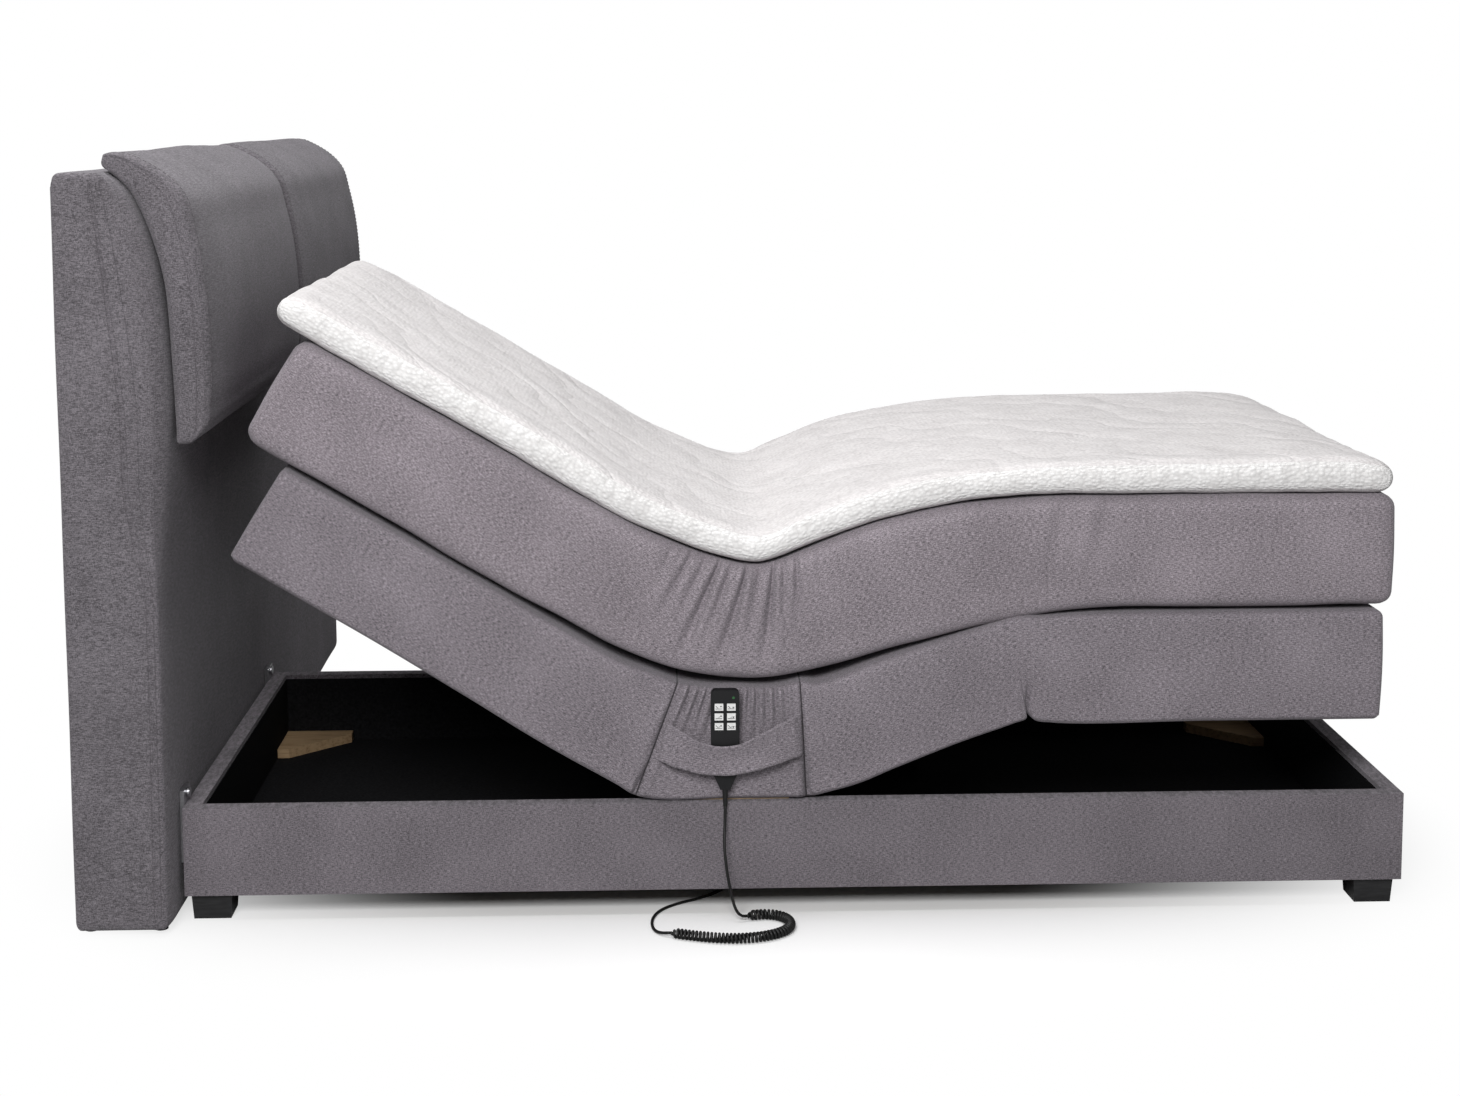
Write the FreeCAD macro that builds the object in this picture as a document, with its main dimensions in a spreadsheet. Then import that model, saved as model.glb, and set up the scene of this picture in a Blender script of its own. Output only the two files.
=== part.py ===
import FreeCAD, Part
import os, math

# Adjustable bed: upholstered plinth, hinged sprung sections, mattress, topper,
# headboard and wired handset. Millimetres. +X runs to the foot end, -Y is the
# handset side, +Z is up. The origin is on the floor under the middle.
# Everything is drawn in the stored position: back raised, knees raised,
# lower-leg section level.

V = FreeCAD.Vector
doc = FreeCAD.newDocument("adjustable_bed")
sheet = doc.addObject("Spreadsheet::Sheet", "dims")

VALUES = [
    ("shift_x", -920.0), ("shift_y", -450.0), ("bed_length", 2000.0), ("bed_width", 900.0),
    ("foot_height", 42.0), ("foot_side", 60.0), ("foot_taper", 4.0),
    ("plinth_height", 146.0), ("wrap_thick", 8.0), ("wrap_top", 4.0), ("rail_thick", 18.0),
    ("lip_thick", 1.5), ("board_thick", 6.0), ("liner_thick", 1.5), ("brace_leg", 130.0), ("brace_thick", 18.0),
    ("hinge_z", 260.0), ("hinge_back_x", 756.0), ("hinge_thigh_x", 1029.0),
    ("back_angle", 31.0), ("thigh_angle", 19.0),
    ("back_len", 750.0), ("thigh_len", 365.0), ("calf_len", 586.0),
    ("box_below", 70.0), ("box_above", 115.0), ("box_wall", 10.0),
    ("tube_r", 15.0), ("tube_wall", 2.5), ("tube_half", 398.0), ("bush_gap", 0.05), ("bush_r", 19.0), ("bush_len", 12.0),
    ("plate_y", 352.0), ("plate_thick", 6.0), ("side_tube_y", 365.0), ("side_tube_w", 25.0), ("side_tube_h", 32.0),
    ("lever_reach", 120.0), ("lever_thick", 12.0), ("roller_r", 8.0),
    ("pin_r", 6.0), ("deck_thick", 17.7),
    ("mattress_width", 896.0), ("mattress_thick", 186.0), ("topper_width", 890.0), ("topper_thick", 55.0),
    ("head_width", 1950.0), ("head_height", 1220.0), ("cushion_width", 932.0), ("cushion_gap", 3.0),
    ("handset_w", 46.0), ("handset_l", 136.0), ("handset_t", 17.0), ("button_w", 14.0), ("button_l", 11.5),
    ("button_travel", 1.2), ("cord_d", 5.0), ("coil_d", 17.0),
]
for i, (name, val) in enumerate(VALUES):
    sheet.set("A%d" % (i + 1), name)
    sheet.set("B%d" % (i + 1), str(val))
    sheet.setAlias("B%d" % (i + 1), name)
doc.recompute()


def d(name):
    return float(sheet.get(name))


SX = d("shift_x")
SY = d("shift_y")
HALF = d("bed_width") / 2.0
NODES = []


def rot_y(deg):
    return FreeCAD.Rotation(V(0, 1, 0), deg)


def frame_at(x, z, deg=0.0):
    """Placement of a hinged section: origin on the hinge, x measured from the head end."""
    return FreeCAD.Placement(V(x + SX, SY, z), rot_y(deg))


ROOT = FreeCAD.Placement(V(SX, SY, 0), FreeCAD.Rotation())
BACK = frame_at(d("hinge_back_x"), d("hinge_z"), d("back_angle"))
THIGH = frame_at(d("hinge_thigh_x"), d("hinge_z"), -d("thigh_angle"))
_t = math.radians(d("thigh_angle"))
KNEE_X = d("hinge_thigh_x") + d("thigh_len") * math.cos(_t)
KNEE_Z = d("hinge_z") + d("thigh_len") * math.sin(_t)
CALF = frame_at(KNEE_X, KNEE_Z)


def node(obj, label):
    obj.Label = label
    NODES.append(obj)
    return obj


def box(name, size, pos, base=None):
    """Part::Box; size entries are sheet expressions, pos is the low corner in the base frame."""
    o = doc.addObject("Part::Box", name)
    for prop, ex in zip(("Length", "Width", "Height"), size):
        o.setExpression(prop, ex)
    o.Placement = (base or ROOT) * FreeCAD.Placement(V(*pos), FreeCAD.Rotation())
    return o


def cyl(name, r, length, pos, direction=(0, 1, 0), base=None):
    o = doc.addObject("Part::Cylinder", name)
    o.setExpression("Radius", r)
    o.setExpression("Height", length)
    o.Placement = (base or ROOT) * FreeCAD.Placement(V(*pos), FreeCAD.Rotation(V(0, 0, 1), V(*direction)))
    return o


def cut(name, a, b):
    o = doc.addObject("Part::Cut", name)
    o.Base = a
    o.Tool = b
    return o


def fuse(name, items):
    o = doc.addObject("Part::MultiFuse", name)
    o.Shapes = items
    return o


def group(name, items):
    o = doc.addObject("Part::Compound", name)
    o.Links = items
    return o


def origin_plane(body, role):
    for f in body.Origin.OriginFeatures:
        if f.Role == role:
            return f
    raise RuntimeError(role)


def sketch_poly(body, name, pts, role="XZ_Plane"):
    s = body.newObject("Sketcher::SketchObject", name)
    s.AttachmentSupport = [(origin_plane(body, role), "")]
    s.MapMode = "FlatFace"
    n = len(pts)
    for i in range(n):
        a, b = pts[i], pts[(i + 1) % n]
        s.addGeometry(Part.LineSegment(V(a[0], a[1], 0), V(b[0], b[1], 0)), False)
    return s


def profile(name, pts, width, base=None, y=0.0, inner=None, inner_width=None, role="XZ_Plane", fillet=None):
    """Body padded symmetrically across the bed from a side profile, with an optional pocket."""
    body = doc.addObject("PartDesign::Body", name)
    s = sketch_poly(body, name + "_profile", pts, role)
    pad = body.newObject("PartDesign::Pad", name + "_pad")
    pad.Profile = s
    pad.Midplane = True
    pad.setExpression("Length", width)
    doc.recompute()
    if inner:
        before = body.Shape.Volume
        s2 = sketch_poly(body, name + "_hollow", inner, role)
        pk = body.newObject("PartDesign::Pocket", name + "_pocket")
        pk.Profile = s2
        pk.Midplane = True
        pk.setExpression("Length", inner_width)
        doc.recompute()
        if not body.Shape.Volume < before - 1.0:
            raise RuntimeError(name + ": pocket removed nothing")
    if fillet:
        r, picker = fillet
        edges = ["Edge%d" % (i + 1) for i, e in enumerate(body.Tip.Shape.Edges) if picker(e)]
        f = body.newObject("PartDesign::Fillet", name + "_fillet")
        f.Base = (body.Tip if body.Tip is not f else pad, edges)
        f.setExpression("Radius", r)
        doc.recompute()
    body.Placement = (base or ROOT) * FreeCAD.Placement(V(0, y, 0), FreeCAD.Rotation())
    return body


# ---------------------------------------------------------------- plinth
L, W, Hp, Zf = d("bed_length"), d("bed_width"), d("plinth_height"), d("foot_height")
wr, rt = d("wrap_thick"), d("rail_thick")
node(box("RailNear", ("dims.bed_length - 2 * dims.wrap_thick", "dims.rail_thick", "dims.plinth_height - dims.wrap_top"),
         (wr, -HALF + wr, Zf)), "plinth_side_rail_near")
node(box("RailFar", ("dims.bed_length - 2 * dims.wrap_thick", "dims.rail_thick", "dims.plinth_height - dims.wrap_top"),
         (wr, HALF - wr - rt, Zf)), "plinth_side_rail_far")
node(box("RailHead", ("dims.rail_thick", "dims.bed_width - 2 * (dims.wrap_thick + dims.rail_thick)",
                      "dims.plinth_height - dims.wrap_top"), (wr, -HALF + wr + rt, Zf)), "plinth_head_rail")
node(box("RailFoot", ("dims.rail_thick", "dims.bed_width - 2 * (dims.wrap_thick + dims.rail_thick)",
                      "dims.plinth_height - dims.wrap_top"), (L - wr - rt, -HALF + wr + rt, Zf)), "plinth_foot_rail")

cov_out = box("CoverOut", ("dims.bed_length", "dims.bed_width", "dims.plinth_height"), (0, -HALF, Zf))
lip = wr + rt + d("lip_thick")
cov_in = box("CoverIn", ("dims.bed_length - 2 * (dims.wrap_thick + dims.rail_thick + dims.lip_thick)",
                         "dims.bed_width - 2 * (dims.wrap_thick + dims.rail_thick + dims.lip_thick)",
                         "dims.plinth_height + 20"), (lip, -HALF + lip, Zf - 10))
ring_out = box("RingOut", ("dims.bed_length - 2 * dims.wrap_thick", "dims.bed_width - 2 * dims.wrap_thick",
                           "dims.plinth_height - dims.wrap_top + 10"), (wr, -HALF + wr, Zf - 10))
ring_in = box("RingIn", ("dims.bed_length - 2 * (dims.wrap_thick + dims.rail_thick)",
                         "dims.bed_width - 2 * (dims.wrap_thick + dims.rail_thick)",
                         "dims.plinth_height + 20"), (wr + rt, -HALF + wr + rt, Zf - 15))
ring = cut("RailRing", ring_out, ring_in)
node(cut("PlinthCover", cut("CoverWall", cov_out, cov_in), ring), "plinth_cover")

GX, GY = 905.0, -250.0
gap = lip + 0.5
board = box("Board", ("dims.bed_length - 2 * (dims.wrap_thick + dims.rail_thick + dims.lip_thick + 0.5)",
                      "dims.bed_width - 2 * (dims.wrap_thick + dims.rail_thick + dims.lip_thick + 0.5)",
                      "dims.board_thick"), (gap, -HALF + gap, Zf + 6))
hole_a = cyl("BoardHole", "9", "60", (GX, GY, Zf - 10), (0, 0, 1))
node(cut("BaseBoard", board, hole_a), "plinth_base_board")
zl = Zf + 6 + d("board_thick")
lin_out = box("LinerOut", ("dims.bed_length - 2 * (dims.wrap_thick + dims.rail_thick + dims.lip_thick + 0.5)",
                           "dims.bed_width - 2 * (dims.wrap_thick + dims.rail_thick + dims.lip_thick + 0.5)",
                           "dims.plinth_height - 6 - dims.board_thick - 8"), (gap, -HALF + gap, zl))
lin_in = box("LinerIn", ("dims.bed_length - 2 * (dims.wrap_thick + dims.rail_thick + dims.lip_thick + 0.5 + dims.liner_thick)",
                         "dims.bed_width - 2 * (dims.wrap_thick + dims.rail_thick + dims.lip_thick + 0.5 + dims.liner_thick)",
                         "dims.plinth_height"), (gap + d("liner_thick"), -HALF + gap + d("liner_thick"), zl + d("liner_thick")))
hole_b = cyl("LinerHole", "9", "60", (GX, GY, Zf - 10), (0, 0, 1))
node(cut("Liner", cut("LinerShell", lin_out, lin_in), hole_b), "plinth_liner")

# triangular timber braces lying in the four bottom corners
q = gap + d("liner_thick") + 0.3
leg = d("brace_leg")
braces = []
for k, (cx, sx, cy, sy) in enumerate(((q, 1, -HALF + q, 1), (q, 1, HALF - q, -1), (L - q, -1, -HALF + q, 1), (L - q, -1, HALF - q, -1))):
    tri = [(cx, cy), (cx + sx * leg, cy), (cx + sx * leg, cy + sy * 22.0), (cx + sx * 22.0, cy + sy * leg), (cx, cy + sy * leg)]
    body = doc.addObject("PartDesign::Body", "Brace%d" % k)
    s = sketch_poly(body, "Brace%d_profile" % k, tri, "XY_Plane")
    pad = body.newObject("PartDesign::Pad", "Brace%d_pad" % k)
    pad.Profile = s
    pad.setExpression("Length", "dims.brace_thick")
    doc.recompute()
    body.Placement = ROOT * FreeCAD.Placement(V(0, 0, zl + d("liner_thick") + 0.2), FreeCAD.Rotation())
    braces.append(body)
node(group("Braces", braces), "corner_braces")

# tapered feet, wide side up
feet = []
fs = d("foot_side")
for k, (fx, fy) in enumerate(((12, -HALF + 12), (12, HALF - 12 - fs), (L - 12 - 62 - fs + 60, -HALF + 12), (L - 12 - 62 - fs + 60, HALF - 12 - fs))):
    body = doc.addObject("PartDesign::Body", "Foot%d" % k)
    s = sketch_poly(body, "Foot%d_profile" % k, [(-fs / 2, -fs / 2), (fs / 2, -fs / 2), (fs / 2, fs / 2), (-fs / 2, fs / 2)], "XY_Plane")
    pad = body.newObject("PartDesign::Pad", "Foot%d_pad" % k)
    pad.Profile = s
    pad.setExpression("Length", "dims.foot_height")
    pad.setExpression("TaperAngle", "dims.foot_taper")
    doc.recompute()
    body.Placement = ROOT * FreeCAD.Placement(V(fx + fs / 2, fy + fs / 2, 0), FreeCAD.Rotation())
    feet.append(body)
node(group("Feet", feet), "plinth_feet")

# ---------------------------------------------------------------- headboard
HB = 10.0
HH = d("head_height")
HYC = 450.0  # middle of the headboard, on the bed's far edge: it backs two units side by side
front = [(-8, HB), (-8, 600), (5, 740), (9, 850), (6, 943), (0, 1014), (-12, 1090), (-30, 1150), (-58, 1198), (-84, HH - 4), (-104, HH)]
rear = [(-148, HH), (-157, HH - 9), (-160, HH - 30), (-160, HB)]
t = 12.0
inner_front = [(-8 - t, HB - 5), (-8 - t, 600), (5 - t, 740), (9 - t, 850), (6 - t, 943), (-t, 1014), (-12 - t, 1090), (-30 - t, 1148),
               (-58 - t, 1190), (-100 - t, HH - t)]
inner_rear = [(-160 + t, HH - t), (-160 + t, HB - 5)]
node(profile("HeadCover", front + rear, "dims.head_width", y=HYC, inner=inner_front + inner_rear, inner_width="dims.head_width - 24"),
     "headboard_cover")
g = 0.3
core = [(p[0] - g, max(p[1], HB)) for p in inner_front[:-1]] + [(-100 - t - g, HH - t - g), (-160 + t + g, HH - t - g), (-160 + t + g, HB)]
node(profile("HeadCore", core, "dims.head_width - 24.6", y=HYC), "headboard_panel")

cush = [(-97, HH + 3), (-104, HH + 12), (-98, 1245), (-70, 1256), (-35, 1254), (0, 1240), (27, 1215), (48, 1180), (63, 1130), (73, 1065),
        (77, 1005), (78, 945), (76, 890), (71, 850), (60, 813), (45, 795), (28, 788), (13, 788), (13, 850), (10, 944),
        (4, 1016), (-8, 1092), (-26, 1153), (-54, 1203), (-82, HH)]
cw = d("cushion_width")
node(profile("CushionNear", cush, "dims.cushion_width", y=HYC - (cw + d("cushion_gap")) / 2), "headboard_cushion_near")
node(profile("CushionFar", cush, "dims.cushion_width", y=HYC + (cw + d("cushion_gap")) / 2), "headboard_cushion_far")

glides = []
for k, (gx, gy) in enumerate(((-143, -480), (-32, -480), (-143, HYC), (-32, HYC), (-143, 1380), (-32, 1380))):
    glides.append(cyl("Glide%d" % k, "11", "10", (gx, gy, 0), (0, 0, 1)))
node(group("Glides", glides), "headboard_glides")

brk = []
for k, sy in enumerate((-1, 1)):
    plate = box("BracketPlate%d" % k, ("7", "50", "120"), (-7.6, sy * 405 - 25, 92))
    bolt = cyl("BracketBolt%d" % k, "5", "3", (-2, sy * 405, 203), (1, 0, 0))
    head = cyl("BracketHead%d" % k, "9", "3.5", (1, sy * 405, 203), (1, 0, 0))
    brk.append(fuse("Bracket%d" % k, [plate, bolt, head]))
node(group("Brackets", brk), "headboard_brackets")

# ---------------------------------------------------------------- fixed seat section
hz, hx1, hx2 = d("hinge_z"), d("hinge_back_x"), d("hinge_thigh_x")
ptop = Zf + Hp
node(box("Deck", ("165", "870", "dims.deck_thick"), (820, -435, ptop + 0.3)), "seat_deck")

py, pt = d("plate_y"), d("plate_thick")
dz = ptop + 0.3 + d("deck_thick")


def plate(name, y0):
    pts = [(830, dz), (975, dz), (hx2 + 14, hz - 24), (hx2 + 26, hz), (hx2 + 14, hz + 24), (hx1 - 14, hz + 24), (hx1 - 26, hz), (hx1 - 14, hz - 24)]
    body = doc.addObject("PartDesign::Body", name)
    s = sketch_poly(body, name + "_profile", pts)
    pad = body.newObject("PartDesign::Pad", name + "_pad")
    pad.Profile = s
    pad.Midplane = True
    pad.setExpression("Length", "dims.plate_thick")
    doc.recompute()
    s2 = body.newObject("Sketcher::SketchObject", name + "_bores")
    s2.AttachmentSupport = [(origin_plane(body, "XZ_Plane"), "")]
    s2.MapMode = "FlatFace"
    s2.addGeometry(Part.Circle(V(hx1, hz, 0), V(0, 0, 1), d("bush_r")), False)
    s2.addGeometry(Part.Circle(V(hx2, hz, 0), V(0, 0, 1), d("bush_r")), False)
    pk = body.newObject("PartDesign::Pocket", name + "_pocket")
    pk.Profile = s2
    pk.Midplane = True
    pk.setExpression("Length", "dims.plate_thick + 4")
    doc.recompute()
    body.Placement = ROOT * FreeCAD.Placement(V(0, y0, 0), FreeCAD.Rotation())
    return body


pl1 = plate("PlateNear", -(py + pt / 2))
pl2 = plate("PlateFar", py + pt / 2)
x1 = box("SeatCross1", ("25", "2 * dims.plate_y + 2", "25"), (845, -py - 1, dz + 6))
x2 = box("SeatCross2", ("25", "2 * dims.plate_y + 2", "25"), (935, -py - 1, dz + 6))
node(fuse("SeatFrame", [pl1, pl2, x1, x2]), "seat_frame")

bushes = []
for k, (bx, by) in enumerate(((hx1, -1), (hx1, 1), (hx2, -1), (hx2, 1))):
    yc = by * (py + pt / 2)
    o = cyl("BushOut%d" % k, "dims.bush_r", "dims.bush_len", (bx, yc - d("bush_len") / 2, hz))
    i = cyl("BushIn%d" % k, "dims.tube_r + dims.bush_gap", "dims.bush_len + 4", (bx, yc - d("bush_len") / 2 - 2, hz))
    bushes.append(cut("Bush%d" % k, o, i))
node(group("Bushes", bushes), "hinge_bushes")

seat_top = hz + d("box_above") - 3
seat = [(734, ptop + 0.4), (1018, ptop + 0.4), (1000, seat_top), (818, seat_top)]
seat_in = [(650, ptop - 10), (1100, ptop - 10), (1100, seat_top - 10), (650, seat_top - 10)]
node(profile("SeatCover", seat, "dims.bed_width", inner=seat_in, inner_width="dims.bed_width - 2 * dims.box_wall"), "seat_box_cover")

# ---------------------------------------------------------------- hinged sections
lo, hi, bw = -d("box_below"), d("box_above"), d("box_wall")


def torque_tube(name, base, lever_y, lean, reach=None):
    """Round tube across the bed with one welded lever and its end roller."""
    out = cyl(name + "Out", "dims.tube_r", "2 * dims.tube_half", (0, -d("tube_half"), 0), base=base)
    inn = cyl(name + "In", "dims.tube_r - dims.tube_wall", "2 * dims.tube_half + 20", (0, -d("tube_half") - 10, 0), base=base)
    tube = cut(name + "Tube", out, inn)
    arm_base = base * FreeCAD.Placement(V(0, 0, 0), rot_y(lean))
    arm = box(name + "Arm", ("16", "dims.lever_thick", "dims.lever_reach - dims.tube_r + 2"),
              (-8, lever_y, -d("lever_reach")), arm_base)
    roll = cyl(name + "Roller", "dims.roller_r", "dims.lever_thick", (0, lever_y, -d("lever_reach")), base=arm_base)
    return fuse(name, [tube, arm, roll])


# the levers hang straight down at the middle of each section's travel
BACK_MAX, THIGH_MAX = 24.0, 14.0
back_mid = (d("back_angle") + BACK_MAX) / 2.0
thigh_mid = (d("thigh_angle") + THIGH_MAX) / 2.0
node(torque_tube("BackTube", BACK, -45.0, -back_mid), "back_torque_tube")
node(torque_tube("ThighTube", THIGH, 33.0, thigh_mid), "thigh_torque_tube")

bl = d("back_len")
sty, stw, sth = d("side_tube_y"), d("side_tube_w"), d("side_tube_h")


def section_frame(name, base, xa, xb, zc, cut_at=(), pads=(), cross=()):
    items = []
    for s in (-1, 1):
        y0 = sty if s > 0 else -sty - stw
        items.append(box("%sSide%d" % (name, s + 1), ("%f" % (xb - xa), "dims.side_tube_w", "dims.side_tube_h"), (xa, y0, zc - sth / 2), base))
    for k, cx in enumerate(cross):
        items.append(box("%sCross%d" % (name, k), ("25", "2 * dims.side_tube_y + 2", "25"), (cx, -sty - 1, zc - 12.5), base))
    body = fuse(name + "Fused", items)
    for k, (px, r) in enumerate(cut_at):
        body = cut("%sBore%d" % (name, k), body, cyl("%sBoreTool%d" % (name, k), r, "1000", (px, -500, 0), base=base))
    return body


node(section_frame("BackFrame", BACK, -bl + bw + 2, 24, 0, cut_at=((0, "dims.tube_r"),), cross=(-bl + bw + 2, -480, -230)), "back_frame")
back = [(-bl, lo), (-40, lo), (-40, hi), (-bl, hi)]
back_in = [(-bl + bw, lo - 10), (20, lo - 10), (20, hi - bw), (-bl + bw, hi - bw)]
node(profile("BackCover", back, "dims.bed_width", BACK, inner=back_in, inner_width="dims.bed_width - 2 * dims.box_wall"), "back_box_cover")
node(box("BackCore", ("dims.back_len - dims.box_wall - 52", "dims.bed_width - 2 * dims.box_wall - 4", "dims.box_above - dims.box_wall - 20"),
         (-bl + bw + 1, -HALF + bw + 2, 19.5), BACK), "back_spring_core")

tl = d("thigh_len")
node(section_frame("ThighFrame", THIGH, -24, tl + 14, 0, cut_at=((0, "dims.tube_r"), (tl, "dims.pin_r")), cross=(120, 290)), "thigh_frame")
thigh = [(0, lo), (tl - 24, lo), (tl - 2, 0), (tl - 2, hi), (15, hi), (15, 0)]
thigh_in = [(-50, lo - 10), (tl + 40, lo - 10), (tl + 40, hi - bw), (-50, hi - bw)]
node(profile("ThighCover", thigh, "dims.bed_width", THIGH, inner=thigh_in, inner_width="dims.bed_width - 2 * dims.box_wall"), "thigh_box_cover")
node(box("ThighCore", ("dims.thigh_len - 40", "dims.bed_width - 2 * dims.box_wall - 4", "dims.box_above - dims.box_wall - 20"),
         (25, -HALF + bw + 2, 19.5), THIGH), "thigh_spring_core")

cl = d("calf_len")
knee = []
for k, s in enumerate((-1, 1)):
    y0 = s * (sty - 14) - (14 if s < 0 else 14)
    y0 = (sty - 28) if s > 0 else (-sty - stw - 2)
    knee.append(cyl("KneePin%d" % k, "dims.pin_r", "dims.side_tube_w + 30", (tl, y0, 0), base=THIGH))
node(group("KneePins", knee), "knee_pins")


def calf_frame():
    items = []
    iy, iw = 343.0, 18.0
    for s in (-1, 1):
        y0 = iy if s > 0 else -iy - iw
        items.append(box("CalfSide%d" % (s + 1), ("dims.calf_len - dims.box_wall + 14 - 2", "%f" % iw, "dims.side_tube_h"), (-14, y0, -sth / 2), CALF))
    for k, cx in enumerate((60, 300, cl - bw - 40)):
        items.append(box("CalfCross%d" % k, ("25", "%f" % (2 * iy + 2), "25"), (cx, -iy - 1, -12.5), CALF))
    body = fuse("CalfFused", items)
    return cut("CalfBore", body, cyl("CalfBoreTool", "dims.pin_r + dims.bush_gap", "1000", (0, -500, 0), base=CALF))


node(calf_frame(), "calf_frame")
calf = [(24, lo), (cl, lo), (cl, hi), (2, hi), (2, 0)]
calf_in = [(-50, lo - 10), (cl - bw, lo - 10), (cl - bw, hi - bw), (-50, hi - bw)]
node(profile("CalfCover", calf, "dims.bed_width", CALF, inner=calf_in, inner_width="dims.bed_width - 2 * dims.box_wall"), "calf_box_cover")
node(box("CalfCore", ("dims.calf_len - dims.box_wall - 30", "dims.bed_width - 2 * dims.box_wall - 4", "dims.box_above - dims.box_wall - 20"),
         (26, -HALF + bw + 2, 19.5), CALF), "calf_spring_core")

# ---------------------------------------------------------------- double drive under the seat
reach, rr = d("lever_reach"), d("roller_r")
back_tip = hx1 - reach * math.sin(math.radians(d("back_angle") - back_mid))
thigh_tip = hx2 + reach * math.sin(math.radians(d("thigh_angle") - thigh_mid))
clear = 4.5
dh = box("DriveOuter", ("140", "190", "112"), (832, -95, 66))
slot_b = box("DriveSlotBack", ("200", "29", "29"), (780, -53.5, 125.5))
slot_t = box("DriveSlotThigh", ("200", "29", "29"), (820, 24.5, 125.5))
node(cut("DriveHousing", cut("DriveCutBack", dh, slot_b), slot_t), "drive_housing")
node(box("SliderBack", ("%f" % (950 - (back_tip + rr + clear)), "28", "28"), (back_tip + rr + clear, -53, 126)), "drive_slider_back")
node(box("SliderThigh", ("%f" % ((thigh_tip - rr - clear) - 870), "28", "28"), (870, 25, 126)), "drive_slider_thigh")
node(box("DriveHanger", ("60", "150", "%f" % (ptop + 0.3 - 178)), (870, -75, 178)), "drive_hanger")
ctrl = box("ControlOuter", ("150", "90", "48"), (1120, 180, 56 + 1.7))
inl_hole = box("ControlHole", ("12", "30", "22"), (1262, 210, 70))
node(cut("ControlBox", ctrl, inl_hole), "control_box")
inl = box("InletOuter", ("11.8", "29.8", "21.8"), (1262.1, 210.1, 70.1))
inl_r = box("InletRecess", ("8", "22", "14"), (1266, 214, 74))
node(cut("Inlet", inl, inl_r), "mains_inlet")

# ---------------------------------------------------------------- mattress and topper
mt, tt = d("mattress_thick"), d("topper_thick")
mb = hi + 8.0
tb = mb + mt + 3.0


def world(base, u, n):
    p = base.multVec(V(u, 0, n))
    return (p.x - SX, p.z)


def offset_rows(bottom, thick):
    """Points square to a run of bottom points, a given thickness above it."""
    out = []
    for i, p in enumerate(bottom):
        a = bottom[max(i - 1, 0)]
        b = bottom[min(i + 1, len(bottom) - 1)]
        dx, dzz = b[0] - a[0], b[1] - a[1]
        n = math.hypot(dx, dzz)
        out.append((p[0] - dzz / n * thick, p[1] + dx / n * thick))
    return out


node(box("MattressBack", ("629", "dims.mattress_width", "dims.mattress_thick"), (-829, -d("mattress_width") / 2, mb), BACK), "mattress_back")
gp = 0.6
mA = world(BACK, -200 + gp, mb)
mB = world(BACK, -200 + gp, mb + mt)
mC = world(THIGH, 150 - gp, mb)
mD = world(THIGH, 150 - gp, mb + mt)
ms = [mA, (735, 427), (790, 408), (850, 397), (915, 392), (985, 396), (1060, 414), mC, mD, (1055, 622), (1000, 596), (935, 577), (885, 585),
      (820, 606), (760, 636), mB]
node(profile("MattressSeat", ms, "dims.mattress_width"), "mattress_seat")
kx = 1492.0
kb = KNEE_Z + hi + 6.0
mth = [world(THIGH, 150, mb), world(THIGH, 230, mb), world(THIGH, 310, mb), (1385, kb - 1), (kx - gp, kb), (kx - gp, kb + mt),
       (1400, kb + mt - 5), (1300, kb + mt - 15), world(THIGH, 230, mb + mt), world(THIGH, 150, mb + mt)]
node(profile("MattressThigh", mth, "dims.mattress_width"), "mattress_thigh")
node(box("MattressCalf", ("%f" % (1978 - kx - gp), "dims.mattress_width", "dims.mattress_thick"), (kx + gp, -d("mattress_width") / 2, kb)), "mattress_calf")

node(box("TopperBack", ("659", "dims.topper_width", "dims.topper_thick"), (-889, -d("topper_width") / 2, tb), BACK), "topper_back")
tA = world(BACK, -230 + gp, tb)
tB = world(BACK, -230 + gp, tb + tt)
tC = world(THIGH, 190 - gp, tb)
tD = world(THIGH, 190 - gp, tb + tt)
vb = [tA, (760, 640), (820, 610), (885, 589), (935, 581), (1000, 600), (1050, 626), tC]
vt = [tD, (1010, 675), (940, 648), (890, 652), (840, 672), (780, 703), tB]
node(profile("TopperSeat", vb + vt, "dims.topper_width"), "topper_seat")
tk = kb + mt + 3.0
tth = [world(THIGH, 190, tb), world(THIGH, 230, tb), (1300, tk - 15), (1400, tk - 5), (kx - gp, tk), (kx - gp, tk + tt), (1400, tk + tt - 5),
       (1295, tk + tt - 14), world(THIGH, 230, tb + tt), world(THIGH, 190, tb + tt)]
node(profile("TopperThigh", tth, "dims.topper_width"), "topper_thigh")
node(box("TopperCalf", ("%f" % (1974 - kx - gp), "dims.topper_width", "dims.topper_thick"), (kx + gp, -d("topper_width") / 2, tk)), "topper_calf")

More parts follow.
